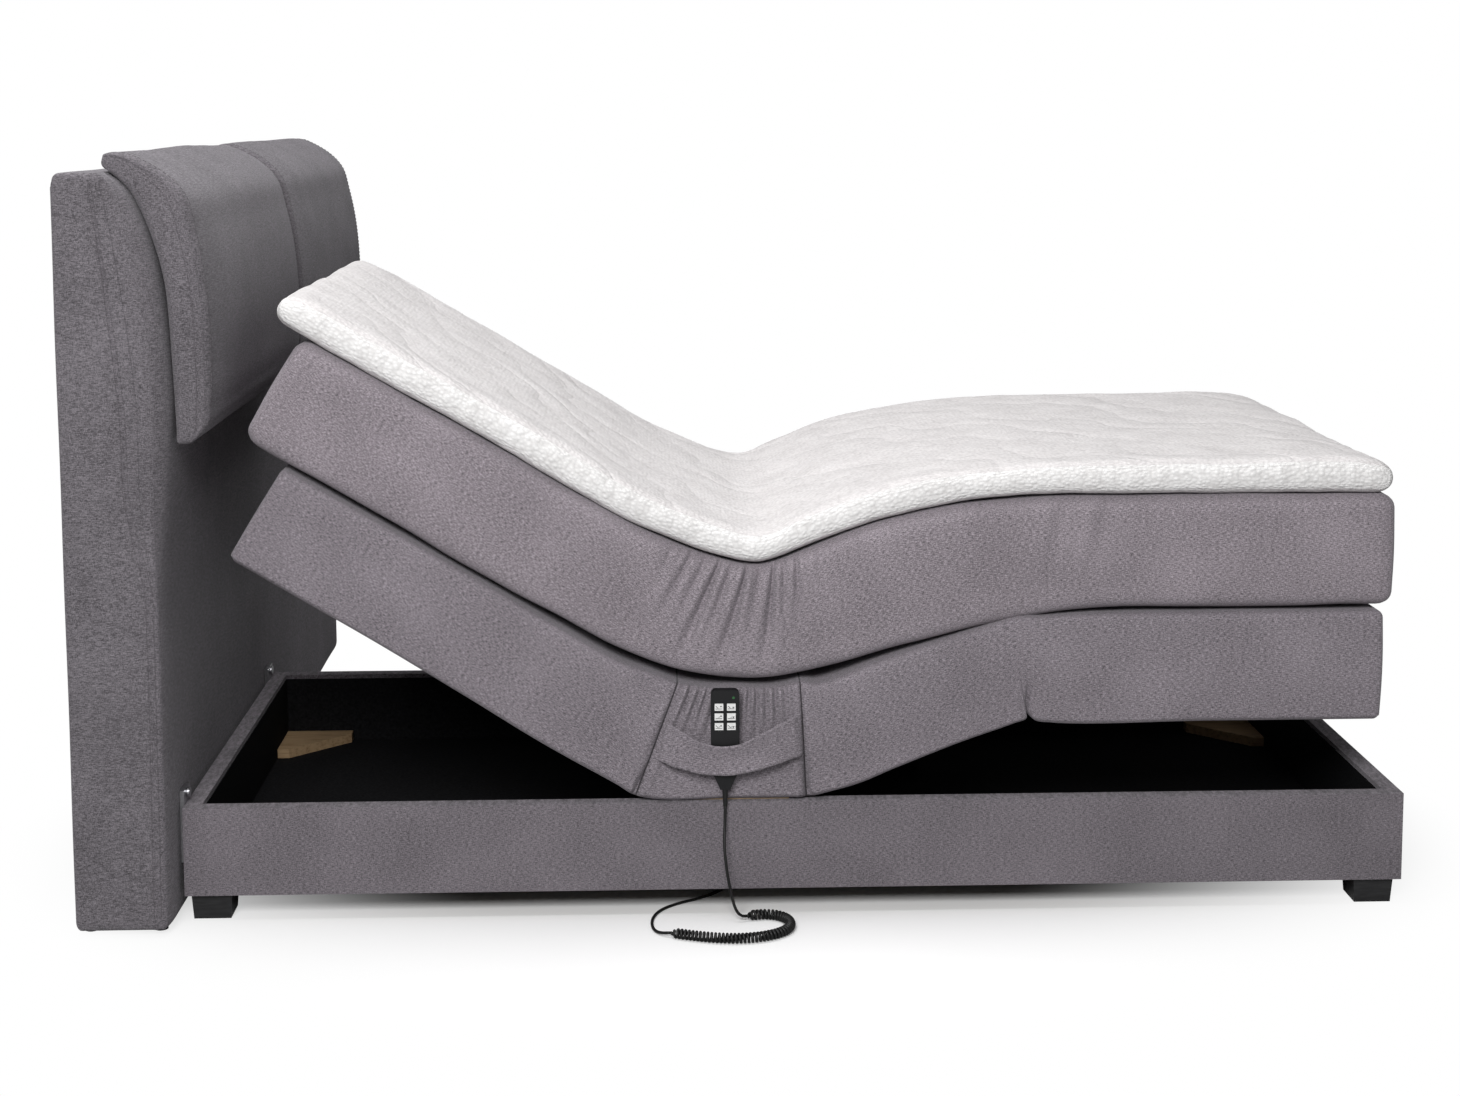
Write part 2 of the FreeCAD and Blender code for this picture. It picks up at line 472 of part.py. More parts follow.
# ---------------------------------------------------------------- handset in its side pocket
hw, hl, ht = d("handset_w"), d("handset_l"), d("handset_t")
HX, HZ0 = 880.0, 243.0
HY = -HALF - 1.0 - ht
shell = box("HandsetBlock", ("dims.handset_w", "dims.handset_t", "dims.handset_l"), (HX - hw / 2, HY, HZ0))
btn_specs = [("handset_button_back_up", -10.0, 108.5), ("handset_button_back_down", 10.0, 108.5),
             ("handset_button_leg_up", -10.0, 92.5), ("handset_button_leg_down", 10.0, 92.5),
             ("handset_button_all_up", -10.0, 76.5), ("handset_button_flat", 10.0, 76.5)]
bwid, blen, trav = d("button_w"), d("button_l"), d("button_travel")
tools = []
for k, (nm, bx, bz) in enumerate(btn_specs):
    tools.append(box("Well%d" % k, ("dims.button_w + 0.8", "7", "dims.button_l + 0.8"), (HX + bx - bwid / 2 - 0.4, HY - 1, HZ0 + bz - blen / 2 - 0.4)))
wells = fuse("Wells", tools)
cham = doc.addObject("Part::Fillet", "HandsetRound")
doc.recompute()
cham.Base = shell
ve = [(i + 1, 8.0, 8.0) for i, e in enumerate(shell.Shape.Edges) if abs(e.tangentAt(e.FirstParameter).y) > 0.9]
cham.Edges = ve
tail = doc.addObject("Part::Feature", "HandsetTail")
secs = []
for hw_, y0_, y1_, z_ in ((8, 3.5, 13.5, -30), (21, 1.5, 15.5, 0), (22.5, 1.0, 16.0, 9)):
    secs.append(Part.makePolygon([V(-hw_, y0_, z_), V(hw_, y0_, z_), V(hw_, y1_, z_), V(-hw_, y1_, z_), V(-hw_, y0_, z_)]))
tail.Shape = Part.makeLoft(secs, True, True)
tail.Placement = ROOT * FreeCAD.Placement(V(HX, HY, HZ0), FreeCAD.Rotation())
node(fuse("HandsetBody", [cut("HandsetShell", cham, wells), tail]), "handset_shell")
for k, (nm, bx, bz) in enumerate(btn_specs):
    b = box("Button%d" % k, ("dims.button_w", "5.2", "dims.button_l"), (HX + bx - bwid / 2, HY - 1.0, HZ0 + bz - blen / 2))
    node(b, nm)

# pocket: a fabric band bowed out round the handset, open above and below
pk_pts = [(795, -HALF - 0.4), (852, -HALF - ht - 3.2), (908, -HALF - ht - 3.2), (1000, -HALF - 0.4), (1004, -HALF - 2.4), (912, -HALF - ht - 5.2),
          (848, -HALF - ht - 5.2), (766, -HALF - 2.4), (762, -HALF - 0.4)]
pbody = doc.addObject("PartDesign::Body", "Pocket")
ps = sketch_poly(pbody, "Pocket_profile", pk_pts, "XY_Plane")
pp = pbody.newObject("PartDesign::Pad", "Pocket_pad")
pp.Profile = ps
pp.Length = 52.0
doc.recompute()
pbody.Placement = ROOT * FreeCAD.Placement(V(0, 0, 238), FreeCAD.Rotation())
node(pbody, "handset_pocket")

SRY = HY + ht / 2
sr = doc.addObject("Part::Cone", "Relief")
sr.Radius1 = 3.3
sr.Radius2 = 4.8
sr.Height = 28.0
sr.Placement = ROOT * FreeCAD.Placement(V(HX, SRY, HZ0 - 58.0), FreeCAD.Rotation())
node(sr, "handset_strain_relief")

# ---------------------------------------------------------------- handset cord


def tube(route, dia, name):
    """Round tube along straight runs joined by tangent arcs."""
    P = [V(*p) for p in route]
    runs = [(P[i + 1] - P[i]).Length for i in range(len(P) - 1)]
    edges, cur, radii = [], P[0], []
    for i in range(1, len(P) - 1):
        a = (P[i] - P[i - 1]).normalize()
        b = (P[i + 1] - P[i]).normalize()
        turn = math.acos(max(-1.0, min(1.0, a.dot(b))))
        short = min(runs[i - 1], runs[i])
        r = 0.45 * short / math.tan(turn / 2)
        tl_ = 0.45 * short
        p0, p1 = P[i] - a * tl_, P[i] + b * tl_
        bis = (b - a).normalize()
        cen = P[i] + bis * math.hypot(r, tl_)
        mid = cen - bis * r
        if (p0 - cur).Length > 1e-6:
            edges.append(Part.LineSegment(cur, p0).toShape())
        edges.append(Part.Arc(p0, mid, p1).toShape())
        cur = p1
        radii.append(round(r, 1))
        if math.degrees(turn) > 90.5:
            print("turn over 90:", name, i, math.degrees(turn))
    edges.append(Part.LineSegment(cur, P[-1]).toShape())
    wire = Part.Wire(edges)
    t0 = (P[1] - P[0]).normalize()
    ring_ = Part.Wire([Part.makeCircle(dia / 2, P[0], t0)])
    solid = wire.makePipeShell([ring_], True, False)
    ideal = math.pi * dia * dia / 4 * wire.Length
    print(name, "length", round(wire.Length, 1), "volume/ideal", round(solid.Volume / ideal, 4), "least radius", min(radii), "radii", radii,
          "runs", [round(x) for x in runs])
    if not solid.isValid() or abs(solid.Volume / ideal - 1) > 0.02:
        raise RuntimeError(name + ": bad tube")
    return solid


def tube_node(name, label, route, dia):
    f = doc.addObject("Part::Feature", name)
    shp = tube(route, dia, label)
    f.Shape = shp
    f.Placement = ROOT
    return node(f, label)


# x from the head end, y and z in the bed's frame
COIL = [(914, -487, 8.6), (929, -480, 8.6), (954, -479, 8.6), (975, -493, 8.6), (984, -517, 8.6), (980, -543, 8.6), (963, -565, 8.6),
        (936, -579, 8.6), (903, -586, 8.6), (865, -583, 8.6), (826, -571, 8.6), (790, -556, 8.6)]
DROP = [(HX, SRY, HZ0 - 58.0), (HX - 0.3, SRY - 1.5, 170), (HX - 1, SRY - 5.5, 152), (HX - 2.5, -474, 126), (HX, -482, 96), (HX + 4, -484, 68),
        (HX + 9, -486, 44), (892.5, -489.5, 29.5), (897.5, -492, 17.5), (905, -491.5, 10.2), (914, -487, 8.6)]
TAIL = [(790, -556, 8.6), (776, -549, 5.5), (766, -536, 3.2), (760, -514, 2.7), (759, -484, 2.7), (766, -452, 2.7), (782, -425, 2.7),
        (808, -402, 2.7), (838, -384, 2.7), (868, -356, 2.7), (888, -322, 2.7), (899, -290, 3.2), (904, -265, 9), (905.3, -252, 22), (GX, GY, 40)]
tube_node("CordDrop", "cord_to_curl", DROP, d("cord_d"))
tube_node("CordCurl", "cord_curl", COIL, d("coil_d"))
tube_node("CordTail", "cord_tail", TAIL, d("cord_d"))
go = cyl("GrommetOut", "8.9", "22", (GX, GY, 40), (0, 0, 1))
node(go, "cord_grommet")

# ---------------------------------------------------------------- checks and export
doc.recompute()
bad = []
for o in doc.Objects:
    if "Invalid" in o.State or "Error" in o.State:
        bad.append("%s %s" % (o.Name, o.State))
for o in NODES:
    if o.Shape.isNull() or not o.Shape.isValid() or not o.Shape.Solids:
        bad.append("%s shape" % o.Label)
if bad:
    raise RuntimeError("; ".join(bad))
labels = [o.Label for o in NODES]
if len(set(labels)) != len(labels) or len(labels) > 60:
    raise RuntimeError("labels")
os.makedirs("parts", exist_ok=True)
for old in os.listdir("parts"):
    if old.endswith(".step"):
        os.remove(os.path.join("parts", old))
for o in NODES:
    o.Shape.exportStep("parts/%s.step" % o.Label)
print(len(NODES), "nodes; knee at", round(KNEE_X + SX, 2), round(KNEE_Z, 2), "back tip", round(back_tip, 2), "thigh tip", round(thigh_tip, 2))
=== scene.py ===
import bpy
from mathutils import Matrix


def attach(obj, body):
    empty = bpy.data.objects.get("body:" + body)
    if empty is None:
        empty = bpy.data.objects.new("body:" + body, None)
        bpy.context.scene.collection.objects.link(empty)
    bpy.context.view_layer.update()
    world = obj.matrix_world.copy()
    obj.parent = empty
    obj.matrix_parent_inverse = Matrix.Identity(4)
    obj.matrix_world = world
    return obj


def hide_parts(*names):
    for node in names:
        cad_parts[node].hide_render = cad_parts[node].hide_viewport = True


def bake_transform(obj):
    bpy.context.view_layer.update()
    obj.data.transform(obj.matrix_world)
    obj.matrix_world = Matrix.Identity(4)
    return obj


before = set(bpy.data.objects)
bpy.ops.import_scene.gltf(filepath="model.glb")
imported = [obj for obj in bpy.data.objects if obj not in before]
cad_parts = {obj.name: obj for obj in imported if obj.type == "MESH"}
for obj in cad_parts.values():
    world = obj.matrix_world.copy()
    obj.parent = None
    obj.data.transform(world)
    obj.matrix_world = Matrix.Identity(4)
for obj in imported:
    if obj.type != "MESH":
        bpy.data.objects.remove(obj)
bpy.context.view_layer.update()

import bpy, bmesh, math
import numpy as np
from mathutils import Vector, Matrix

SX, SY = -0.92, -0.45
HALF = 0.45
rng = np.random.default_rng(7)


def P(b, z):
    """Bed coordinates in millimetres (from the plinth's head end, above the floor) to the frame, in metres."""
    return (b / 1000.0 + SX, z / 1000.0)


def hinge_frame(hx, hz, deg):
    a = math.radians(deg)
    def at(u, n):
        return P(hx + u * math.cos(a) + n * math.sin(a), hz - u * math.sin(a) + n * math.cos(a))
    return at


BACK = hinge_frame(756, 260, 31)
THIGH = hinge_frame(1029, 260, -19)
KX = 1029 + 365 * math.cos(math.radians(19))
KZ = 260 + 365 * math.sin(math.radians(19))

# ------------------------------------------------------------------ camera
cam_data = bpy.data.cameras.new("Camera")
cam = bpy.data.objects.new("Camera", cam_data)
bpy.context.scene.collection.objects.link(cam)
yaw, pitch, roll = 0.03350, 0.10937, -0.00267
f = Vector((math.sin(yaw) * math.cos(pitch), math.cos(yaw) * math.cos(pitch), -math.sin(pitch)))
r = Vector((math.cos(yaw), -math.sin(yaw), 0))
u = r.cross(f)
r2 = math.cos(roll) * r + math.sin(roll) * u
u2 = -math.sin(roll) * r + math.cos(roll) * u
m = Matrix((r2, u2, -f)).transposed().to_4x4()
m.translation = Vector((0.7696 + SX, SY - HALF - 3.5923, 1.3128))
cam.matrix_world = m
cam_data.sensor_width = 36.0
cam_data.lens = 2263.1 / 1460 * 36.0
cam_data.shift_x = 0.0
cam_data.shift_y = -(548 - 357.6) / 1460
cam_data.clip_start, cam_data.clip_end = 0.05, 60
bpy.context.scene.camera = cam

# ------------------------------------------------------------------ materials


class Mat:
    def __init__(self, name):
        self.m = bpy.data.materials.new(name)
        self.m.use_nodes = True
        self.t = self.m.node_tree
        self.bsdf = self.t.nodes["Principled BSDF"]

    def n(self, kind, **kw):
        node = self.t.nodes.new(kind)
        for k, v in kw.items():
            if k in node.inputs.keys():
                node.inputs[k].default_value = v
            else:
                setattr(node, k, v)
        return node

    def l(self, a, b):
        self.t.links.new(a, b)

    def coords(self, uv=False):
        c = self.n("ShaderNodeTexCoord")
        return c.outputs["UV" if uv else "Object"]

    def noise(self, vec, scale, stretch=(1, 1, 1), detail=2.0, rough=0.5, rot=(0, 0, 0)):
        mp = self.n("ShaderNodeMapping")
        mp.inputs["Scale"].default_value = stretch
        mp.inputs["Rotation"].default_value = rot
        self.l(vec, mp.inputs["Vector"])
        nz = self.n("ShaderNodeTexNoise", Scale=scale, Detail=detail, Roughness=rough)
        self.l(mp.outputs["Vector"], nz.inputs["Vector"])
        return nz.outputs["Fac"]

    def math(self, op, a, b=None, c=None):
        nd = self.n("ShaderNodeMath", operation=op)
        for i, v in enumerate((a, b, c)):
            if v is None:
                continue
            if isinstance(v, (int, float)):
                nd.inputs[i].default_value = v
            else:
                self.l(v, nd.inputs[i])
        return nd.outputs[0]

    def ramp(self, fac, stops):
        rp = self.n("ShaderNodeValToRGB")
        el = rp.color_ramp.elements
        while len(el) < len(stops):
            el.new(0.5)
        for e, (p, c) in zip(el, stops):
            e.position = p
            e.color = (*c, 1)
        self.l(fac, rp.inputs["Fac"])
        return rp.outputs["Color"]

    def bump(self, height, strength, distance):
        b = self.n("ShaderNodeBump", Strength=strength, Distance=distance)
        self.l(height, b.inputs["Height"])
        return b

    def set(self, **kw):
        for k, v in kw.items():
            self.bsdf.inputs[k.replace("_", " ")].default_value = v


def fabric(name, base, uv, contrast=1.0, bump=0.6):
    """Heathered plain weave: light and dark slubs along both thread directions over a fine grain."""
    k = Mat(name)
    c = k.coords(uv)
    if uv:
        a = k.noise(c, 1.0, (165, 760, 1), 2.0, 0.65)
        b = k.noise(c, 1.0, (760, 200, 1), 2.0, 0.6)
        fine = k.noise(c, 1.0, (900, 900, 1), 1.0)
        threads = k.math("ADD", k.math("MULTIPLY", a, 0.66), k.math("MULTIPLY", b, 0.34))
    else:
        a = k.noise(c, 1.0, (170, 60, 780), 2.0, 0.65)
        b = k.noise(c, 1.0, (780, 300, 210), 2.0, 0.6)
        b2 = k.noise(c, 1.0, (200, 900, 900), 2.0, 0.6)
        fine = k.noise(c, 1.0, (900, 900, 900), 1.0)
        threads = k.math("ADD", k.math("ADD", k.math("MULTIPLY", a, 0.50), k.math("MULTIPLY", b, 0.32)), k.math("MULTIPLY", b2, 0.18))
    cloud = k.noise(c, 7.0, (1, 1, 1), 2.0)
    mix = k.math("ADD", k.math("MULTIPLY", threads, 0.70), k.math("ADD", k.math("MULTIPLY", fine, 0.22), k.math("MULTIPLY", cloud, 0.08)))
    lo = [v * (1 - 0.66 * contrast) for v in base]
    hi = [min(1, v * (1 + 0.85 * contrast)) for v in base]
    col = k.ramp(mix, [(0.40, lo), (0.5, base), (0.60, hi)])
    k.l(col, k.bsdf.inputs["Base Color"])
    rough = k.math("ADD", 0.82, k.math("MULTIPLY", fine, 0.14))
    k.l(rough, k.bsdf.inputs["Roughness"])
    bp = k.bump(mix, bump, 0.0012)
    k.l(bp.outputs["Normal"], k.bsdf.inputs["Normal"])
    k.set(Sheen_Weight=0.18, Sheen_Roughness=0.6, Specular_IOR_Level=0.15)
    k.bsdf.inputs["Sheen Tint"].default_value = (0.9, 0.88, 0.92, 1)
    return k.m


GREY = (0.222, 0.196, 0.216)
BOXG = (0.186, 0.166, 0.184)
MIDG = (0.146, 0.131, 0.145)
# headboard and cushion grey: the same upholstery weave, painted darker to stand in for the shade that falls on the
# headboard
HEAD_GREY_PAINTED_SHADE = (0.122, 0.112, 0.123)
M_FAB = fabric("upholstery_weave", GREY, True)
M_BOX = fabric("upholstery_weave_base", BOXG, True)
M_FAB_OBJ = fabric("upholstery_weave_solid", MIDG, False)
# painted shade: the headboard and its cushions use this darker copy of the weave
M_HEAD_SHADED = fabric("headboard_weave_painted_shade", HEAD_GREY_PAINTED_SHADE, False)


def topper_material(name, side):
    k = Mat(name)
    c = k.coords(True)
    wob = k.noise(c, 14.0, (1, 1, 1), 1.0)
    mp = k.n("ShaderNodeMapping")
    mp.inputs["Scale"].default_value = (135, 180, 1)
    k.l(c, mp.inputs["Vector"])
    vo = k.n("ShaderNodeTexVoronoi", feature="SMOOTH_F1", Scale=1.0)
    vo.inputs["Randomness"].default_value = 0.75
    vo.inputs["Smoothness"].default_value = 0.35
    k.l(mp.outputs["Vector"], vo.inputs["Vector"])
    cell = vo.outputs["Distance"]
    fine = k.noise(c, 1.0, (1100, 1100, 1), 2.0)
    # meandering quilting lines
    wv = k.n("ShaderNodeTexWave", wave_type="BANDS", bands_direction="DIAGONAL", Scale=3.2, Distortion=9.0, Detail=1.0)
    wv.inputs["Detail Scale"].default_value = 1.6
    k.l(c, wv.inputs["Vector"])
    line = k.math("POWER", wv.outputs["Fac"], 0.35)
    h = k.math("ADD", k.math("MULTIPLY", k.math("SUBTRACT", 1.0, cell), 0.55), k.math("ADD", k.math("MULTIPLY", fine, 0.10), k.math("MULTIPLY", line, 0.9 if not side else 0.05)))
    tint = k.math("ADD", k.math("MULTIPLY", k.math("SUBTRACT", 1.0, cell), 0.6), k.math("MULTIPLY", wob, 0.4))
    if side:
        col = k.ramp(tint, [(0.25, (0.64, 0.625, 0.62)), (0.6, (0.81, 0.80, 0.795)), (0.9, (0.88, 0.87, 0.87))])
    else:
        col = k.ramp(tint, [(0.25, (0.57, 0.545, 0.545)), (0.6, (0.71, 0.685, 0.685)), (0.9, (0.79, 0.77, 0.77))])
    k.l(col, k.bsdf.inputs["Base Color"])
    bp = k.bump(h, 0.85 if side else 0.75, 0.005)
    k.l(bp.outputs["Normal"], k.bsdf.inputs["Normal"])
    rr = k.math("ADD", 0.78, k.math("MULTIPLY", fine, 0.15))
    k.l(rr, k.bsdf.inputs["Roughness"])
    k.set(Sheen_Weight=0.15, Sheen_Roughness=0.5, Specular_IOR_Level=0.2)
    return k.m


M_TOP = topper_material("topper_quilted_knit", False)
M_BORDER = topper_material("topper_border_knit", True)


def simple(name, base, rough, metal=0.0, var=0.15, scale=60.0, bump=0.15, dist=0.0004, stretch=(1, 1, 1), spec=0.4, coat=0.0):
    k = Mat(name)
    c = k.coords(False)
    nz = k.noise(c, scale, stretch, 4.0, 0.55)
    lo = [v * (1 - var) for v in base]
    hi = [min(1, v * (1 + var)) for v in base]
    k.l(k.ramp(nz, [(0.3, lo), (0.7, hi)]), k.bsdf.inputs["Base Color"])
    k.l(k.math("ADD", rough - 0.06, k.math("MULTIPLY", nz, 0.12)), k.bsdf.inputs["Roughness"])
    b = k.bump(nz, bump, dist)
    k.l(b.outputs["Normal"], k.bsdf.inputs["Normal"])
    k.set(Metallic=metal, Specular_IOR_Level=spec, Coat_Weight=coat)
    return k.m


M_LINER = simple("liner_nonwoven", (0.010, 0.010, 0.011), 0.95, var=0.5, scale=220, bump=0.5, dist=0.001, spec=0.08)
M_BLACKBOARD = simple("black_board", (0.012, 0.012, 0.012), 0.9, var=0.3, spec=0.1)
M_FOOT = simple("foot_black_lacquer", (0.018, 0.018, 0.019), 0.42, var=0.3, scale=40, stretch=(1, 1, 6), bump=0.2)
M_PLASTIC = simple("black_plastic_grain", (0.009, 0.009, 0.010), 0.50, var=0.2, scale=900, bump=0.3, dist=0.0002, spec=0.28)
M_BUTTON = simple("button_white", (0.74, 0.74, 0.73), 0.45, var=0.05, scale=300, bump=0.05)
M_ICON = simple("button_symbol_ink", (0.03, 0.03, 0.035), 0.6, var=0.2)
M_RUBBER = simple("cord_rubber", (0.008, 0.008, 0.008), 0.45, var=0.25, scale=400, bump=0.1, dist=0.0002, spec=0.35)
M_STEEL = simple("steel_powder_coat", (0.03, 0.03, 0.034), 0.5, var=0.2, scale=700, bump=0.25, dist=0.0002)
M_ZINC = simple("zinc_plated_steel", (0.55, 0.55, 0.57), 0.32, metal=1.0, var=0.15, scale=150, bump=0.1)
M_CORE = simple("spring_core_felt", (0.72, 0.72, 0.70), 0.95, var=0.12, scale=150, bump=0.4, dist=0.001, spec=0.1)
M_GRASS = simple("thread_dark", (0.12, 0.11, 0.12), 0.9, var=0.2, spec=0.1)
M_LED = simple("led_lens", (0.02, 0.10, 0.03), 0.2, var=0.1, spec=0.6)


def wood(name, a, b, stretch):
    k = Mat(name)
    c = k.coords(False)
    g = k.noise(c, 1.0, stretch, 6.0, 0.62)
    g2 = k.noise(c, 3.0, (1, 1, 1), 2.0)
    mix = k.math("ADD", k.math("MULTIPLY", g, 0.8), k.math("MULTIPLY", g2, 0.2))
    k.l(k.ramp(mix, [(0.35, b), (0.5, a), (0.62, [v * 1.12 for v in a])]), k.bsdf.inputs["Base Color"])
    bp = k.bump(mix, 0.25, 0.0006)
    k.l(bp.outputs["Normal"], k.bsdf.inputs["Normal"])
    k.l(k.math("ADD", 0.58, k.math("MULTIPLY", g, 0.15)), k.bsdf.inputs["Roughness"])
    k.set(Specular_IOR_Level=0.25)
    return k.m


M_PINE = wood("pine", (0.44, 0.30, 0.17), (0.29, 0.175, 0.085), (14, 160, 160))
M_PLY = wood("plywood", (0.52, 0.38, 0.23), (0.36, 0.25, 0.14), (10, 90, 120))

NODE_MATS = {
    "plinth_side_rail_near": M_PINE, "plinth_side_rail_far": M_PINE, "plinth_head_rail": M_PINE, "plinth_foot_rail": M_PINE,
    "corner_braces": M_PINE, "headboard_panel": M_PLY, "seat_deck": M_PLY, "plinth_cover": M_FAB_OBJ, "headboard_cover": M_FAB_OBJ,
    "plinth_base_board": M_BLACKBOARD, "plinth_liner": M_LINER, "plinth_feet": M_FOOT, "seat_frame": M_STEEL, "back_frame": M_STEEL,
    "thigh_frame": M_STEEL, "calf_frame": M_STEEL, "back_torque_tube": M_STEEL, "thigh_torque_tube": M_STEEL, "drive_hanger": M_STEEL,
    "headboard_brackets": M_ZINC, "knee_pins": M_ZINC, "headboard_glides": M_PLASTIC, "drive_housing": M_PLASTIC,
    "drive_slider_back": M_PLASTIC, "drive_slider_thigh": M_PLASTIC, "control_box": M_PLASTIC, "mains_inlet": M_PLASTIC,
    "handset_shell": M_PLASTIC, "hinge_bushes": M_PLASTIC, "back_spring_core": M_CORE, "thigh_spring_core": M_CORE,
    "calf_spring_core": M_CORE, "handset_strain_relief": M_RUBBER, "cord_grommet": M_RUBBER,
}
for name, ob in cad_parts.items():
    mt = NODE_MATS.get(name)
    if mt is None and name.startswith("handset_button"):
        mt = M_BUTTON
    if mt is None:
        mt = M_FAB_OBJ
    ob.data.materials.clear()
    ob.data.materials.append(mt)


def soften(node, width, segments=3, angle=30):
    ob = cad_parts[node]
    b = ob.modifiers.new("edge", "BEVEL")
    b.width, b.segments, b.limit_method, b.angle_limit = width, segments, "ANGLE", math.radians(angle)
    b.harden_normals = False
    for p in ob.data.polygons:
        p.use_smooth = False


for nd, w in (("plinth_feet", 0.002), ("handset_shell", 0.0015), ("drive_housing", 0.004), ("control_box", 0.003), ("corner_braces", 0.001)):
    soften(nd, w)
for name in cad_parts:
    if name.startswith("handset_button"):
        soften(name, 0.0009)

# ------------------------------------------------------------------ soft block builder


def surface_grid(xs, ys, zs):
    nx, ny, nz = len(xs), len(ys), len(zs)
    I, J, K = np.meshgrid(np.arange(nx), np.arange(ny), np.arange(nz), indexing="ij")
    surf = (I == 0) | (I == nx - 1) | (J == 0) | (J == ny - 1) | (K == 0) | (K == nz - 1)
    idx = -np.ones((nx, ny, nz), int)
    idx[surf] = np.arange(int(surf.sum()))
    pts = np.stack([xs[I[surf]], ys[J[surf]], zs[K[surf]]], -1)
    quads, groups = [], []

    def add(g, a, b, c, d):
        q = np.stack([a.ravel(), b.ravel(), c.ravel(), d.ravel()], -1)
        quads.append(q)
        groups.append(np.full(len(q), g))

    s = idx[0]; add(0, s[:-1, :-1], s[:-1, 1:], s[1:, 1:], s[1:, :-1])
    s = idx[-1]; add(0, s[:-1, :-1], s[1:, :-1], s[1:, 1:], s[:-1, 1:])
    s = idx[:, 0]; add(1, s[:-1, :-1], s[1:, :-1], s[1:, 1:], s[:-1, 1:])
    s = idx[:, -1]; add(1, s[:-1, :-1], s[:-1, 1:], s[1:, 1:], s[1:, :-1])
    s = idx[:, :, 0]; add(2, s[:-1, :-1], s[:-1, 1:], s[1:, 1:], s[1:, :-1])
    s = idx[:, :, -1]; add(3, s[:-1, :-1], s[1:, :-1], s[1:, 1:], s[:-1, 1:])
    return pts, np.concatenate(quads), np.concatenate(groups)


def hermite(sk, vk, s):
    """Smooth interpolation of station values."""
    sk, vk = np.asarray(sk, float), np.asarray(vk, float)
    d = np.diff(vk, axis=0) / np.diff(sk)[:, None]
    m_ = np.zeros_like(vk)
    h = np.diff(sk)
    m_[1:-1] = (d[:-1] * h[1:, None] + d[1:] * h[:-1, None]) / (h[:-1] + h[1:])[:, None]
    m_[0], m_[-1] = d[0], d[-1]
    i = np.clip(np.searchsorted(sk, s, side="right") - 1, 0, len(sk) - 2)
    t = ((s - sk[i]) / h[i])[:, None]
    hh = h[i][:, None]
    return ((2 * t**3 - 3 * t**2 + 1) * vk[i] + (t**3 - 2 * t**2 + t) * hh * m_[i] + (-2 * t**3 + 3 * t**2) * vk[i + 1] + (t**3 - t**2) * hh * m_[i + 1])


def axis(length, step, edge, start=0.0, extra=(), dense=()):
    """Positions from start to start+length, denser near both ends and round each extra position."""
    n = max(2, int(round((length - 2 * edge) / step)))
    a = start + edge * (1 - np.cos(np.linspace(0, math.pi / 2, 6)))
    b = np.linspace(start + edge, start + length - edge, n + 1)
    c = start + length - edge * (1 - np.cos(np.linspace(0, math.pi / 2, 6)))[::-1]
    pts = np.concatenate([a, b, c])
    for e in extra:
        near = e + np.array([-0.010, -0.006, -0.0035, -0.0018, 0, 0.0018, 0.0035, 0.006, 0.010])
        pts = pts[np.abs(pts - e) > 0.012]
        pts = np.concatenate([pts, near])
    for a0, a1, st in dense:
        pts = pts[(pts < a0) | (pts > a1)]
        pts = np.concatenate([pts, np.linspace(a0, a1, int((a1 - a0) / st) + 1)])
    pts = np.unique(np.round(pts, 6))
    keep = [pts[0]]
    for p in pts[1:]:
        if p - keep[-1] > 0.0008:
            keep.append(p)
    keep[-1] = pts[-1]
    return np.array(keep)


def waves(seed, n, kmin, kmax, amp):
    g = np.random.default_rng(seed)
    k = g.normal(size=(n, 3))
    k /= np.linalg.norm(k, axis=1)[:, None]
    k *= g.uniform(kmin, kmax, n)[:, None]
    ph = g.uniform(0, 2 * math.pi, n)
    a = g.uniform(0.5, 1, n)
    a *= amp / a.sum() * 1.8

    def fn(p):
        return (np.sin(p @ k.T + ph) * a).sum(1)
    return fn


def make_mesh(name, pts, quads, uvs, normals, mats, mat_index):
    me = bpy.data.meshes.new(name)
    me.from_pydata(pts.tolist(), [], quads.tolist())
    uvl = me.uv_layers.new(name="UVMap")
    uvl.data.foreach_set("uv", uvs.reshape(-1).astype(np.float32))
    me.polygons.foreach_set("use_smooth", np.ones(len(quads), bool))
    for mt in mats:
        me.materials.append(mt)
    me.polygons.foreach_set("material_index", mat_index.astype(np.int32))
    me.update()
    if normals is not None:
        me.normals_split_custom_set_from_vertices(normals.tolist())
    ob = bpy.data.objects.new(name, me)
    bpy.context.scene.collection.objects.link(ob)
    return ob


def vertex_normals(pts, quads):
    a, b, c, d = (pts[quads[:, i]] for i in range(4))
    fn = np.cross(c - a, d - b)
    vn = np.zeros_like(pts)
    for i in range(4):
        np.add.at(vn, quads[:, i], fn)
    return vn / np.maximum(np.linalg.norm(vn, axis=1), 1e-12)[:, None]


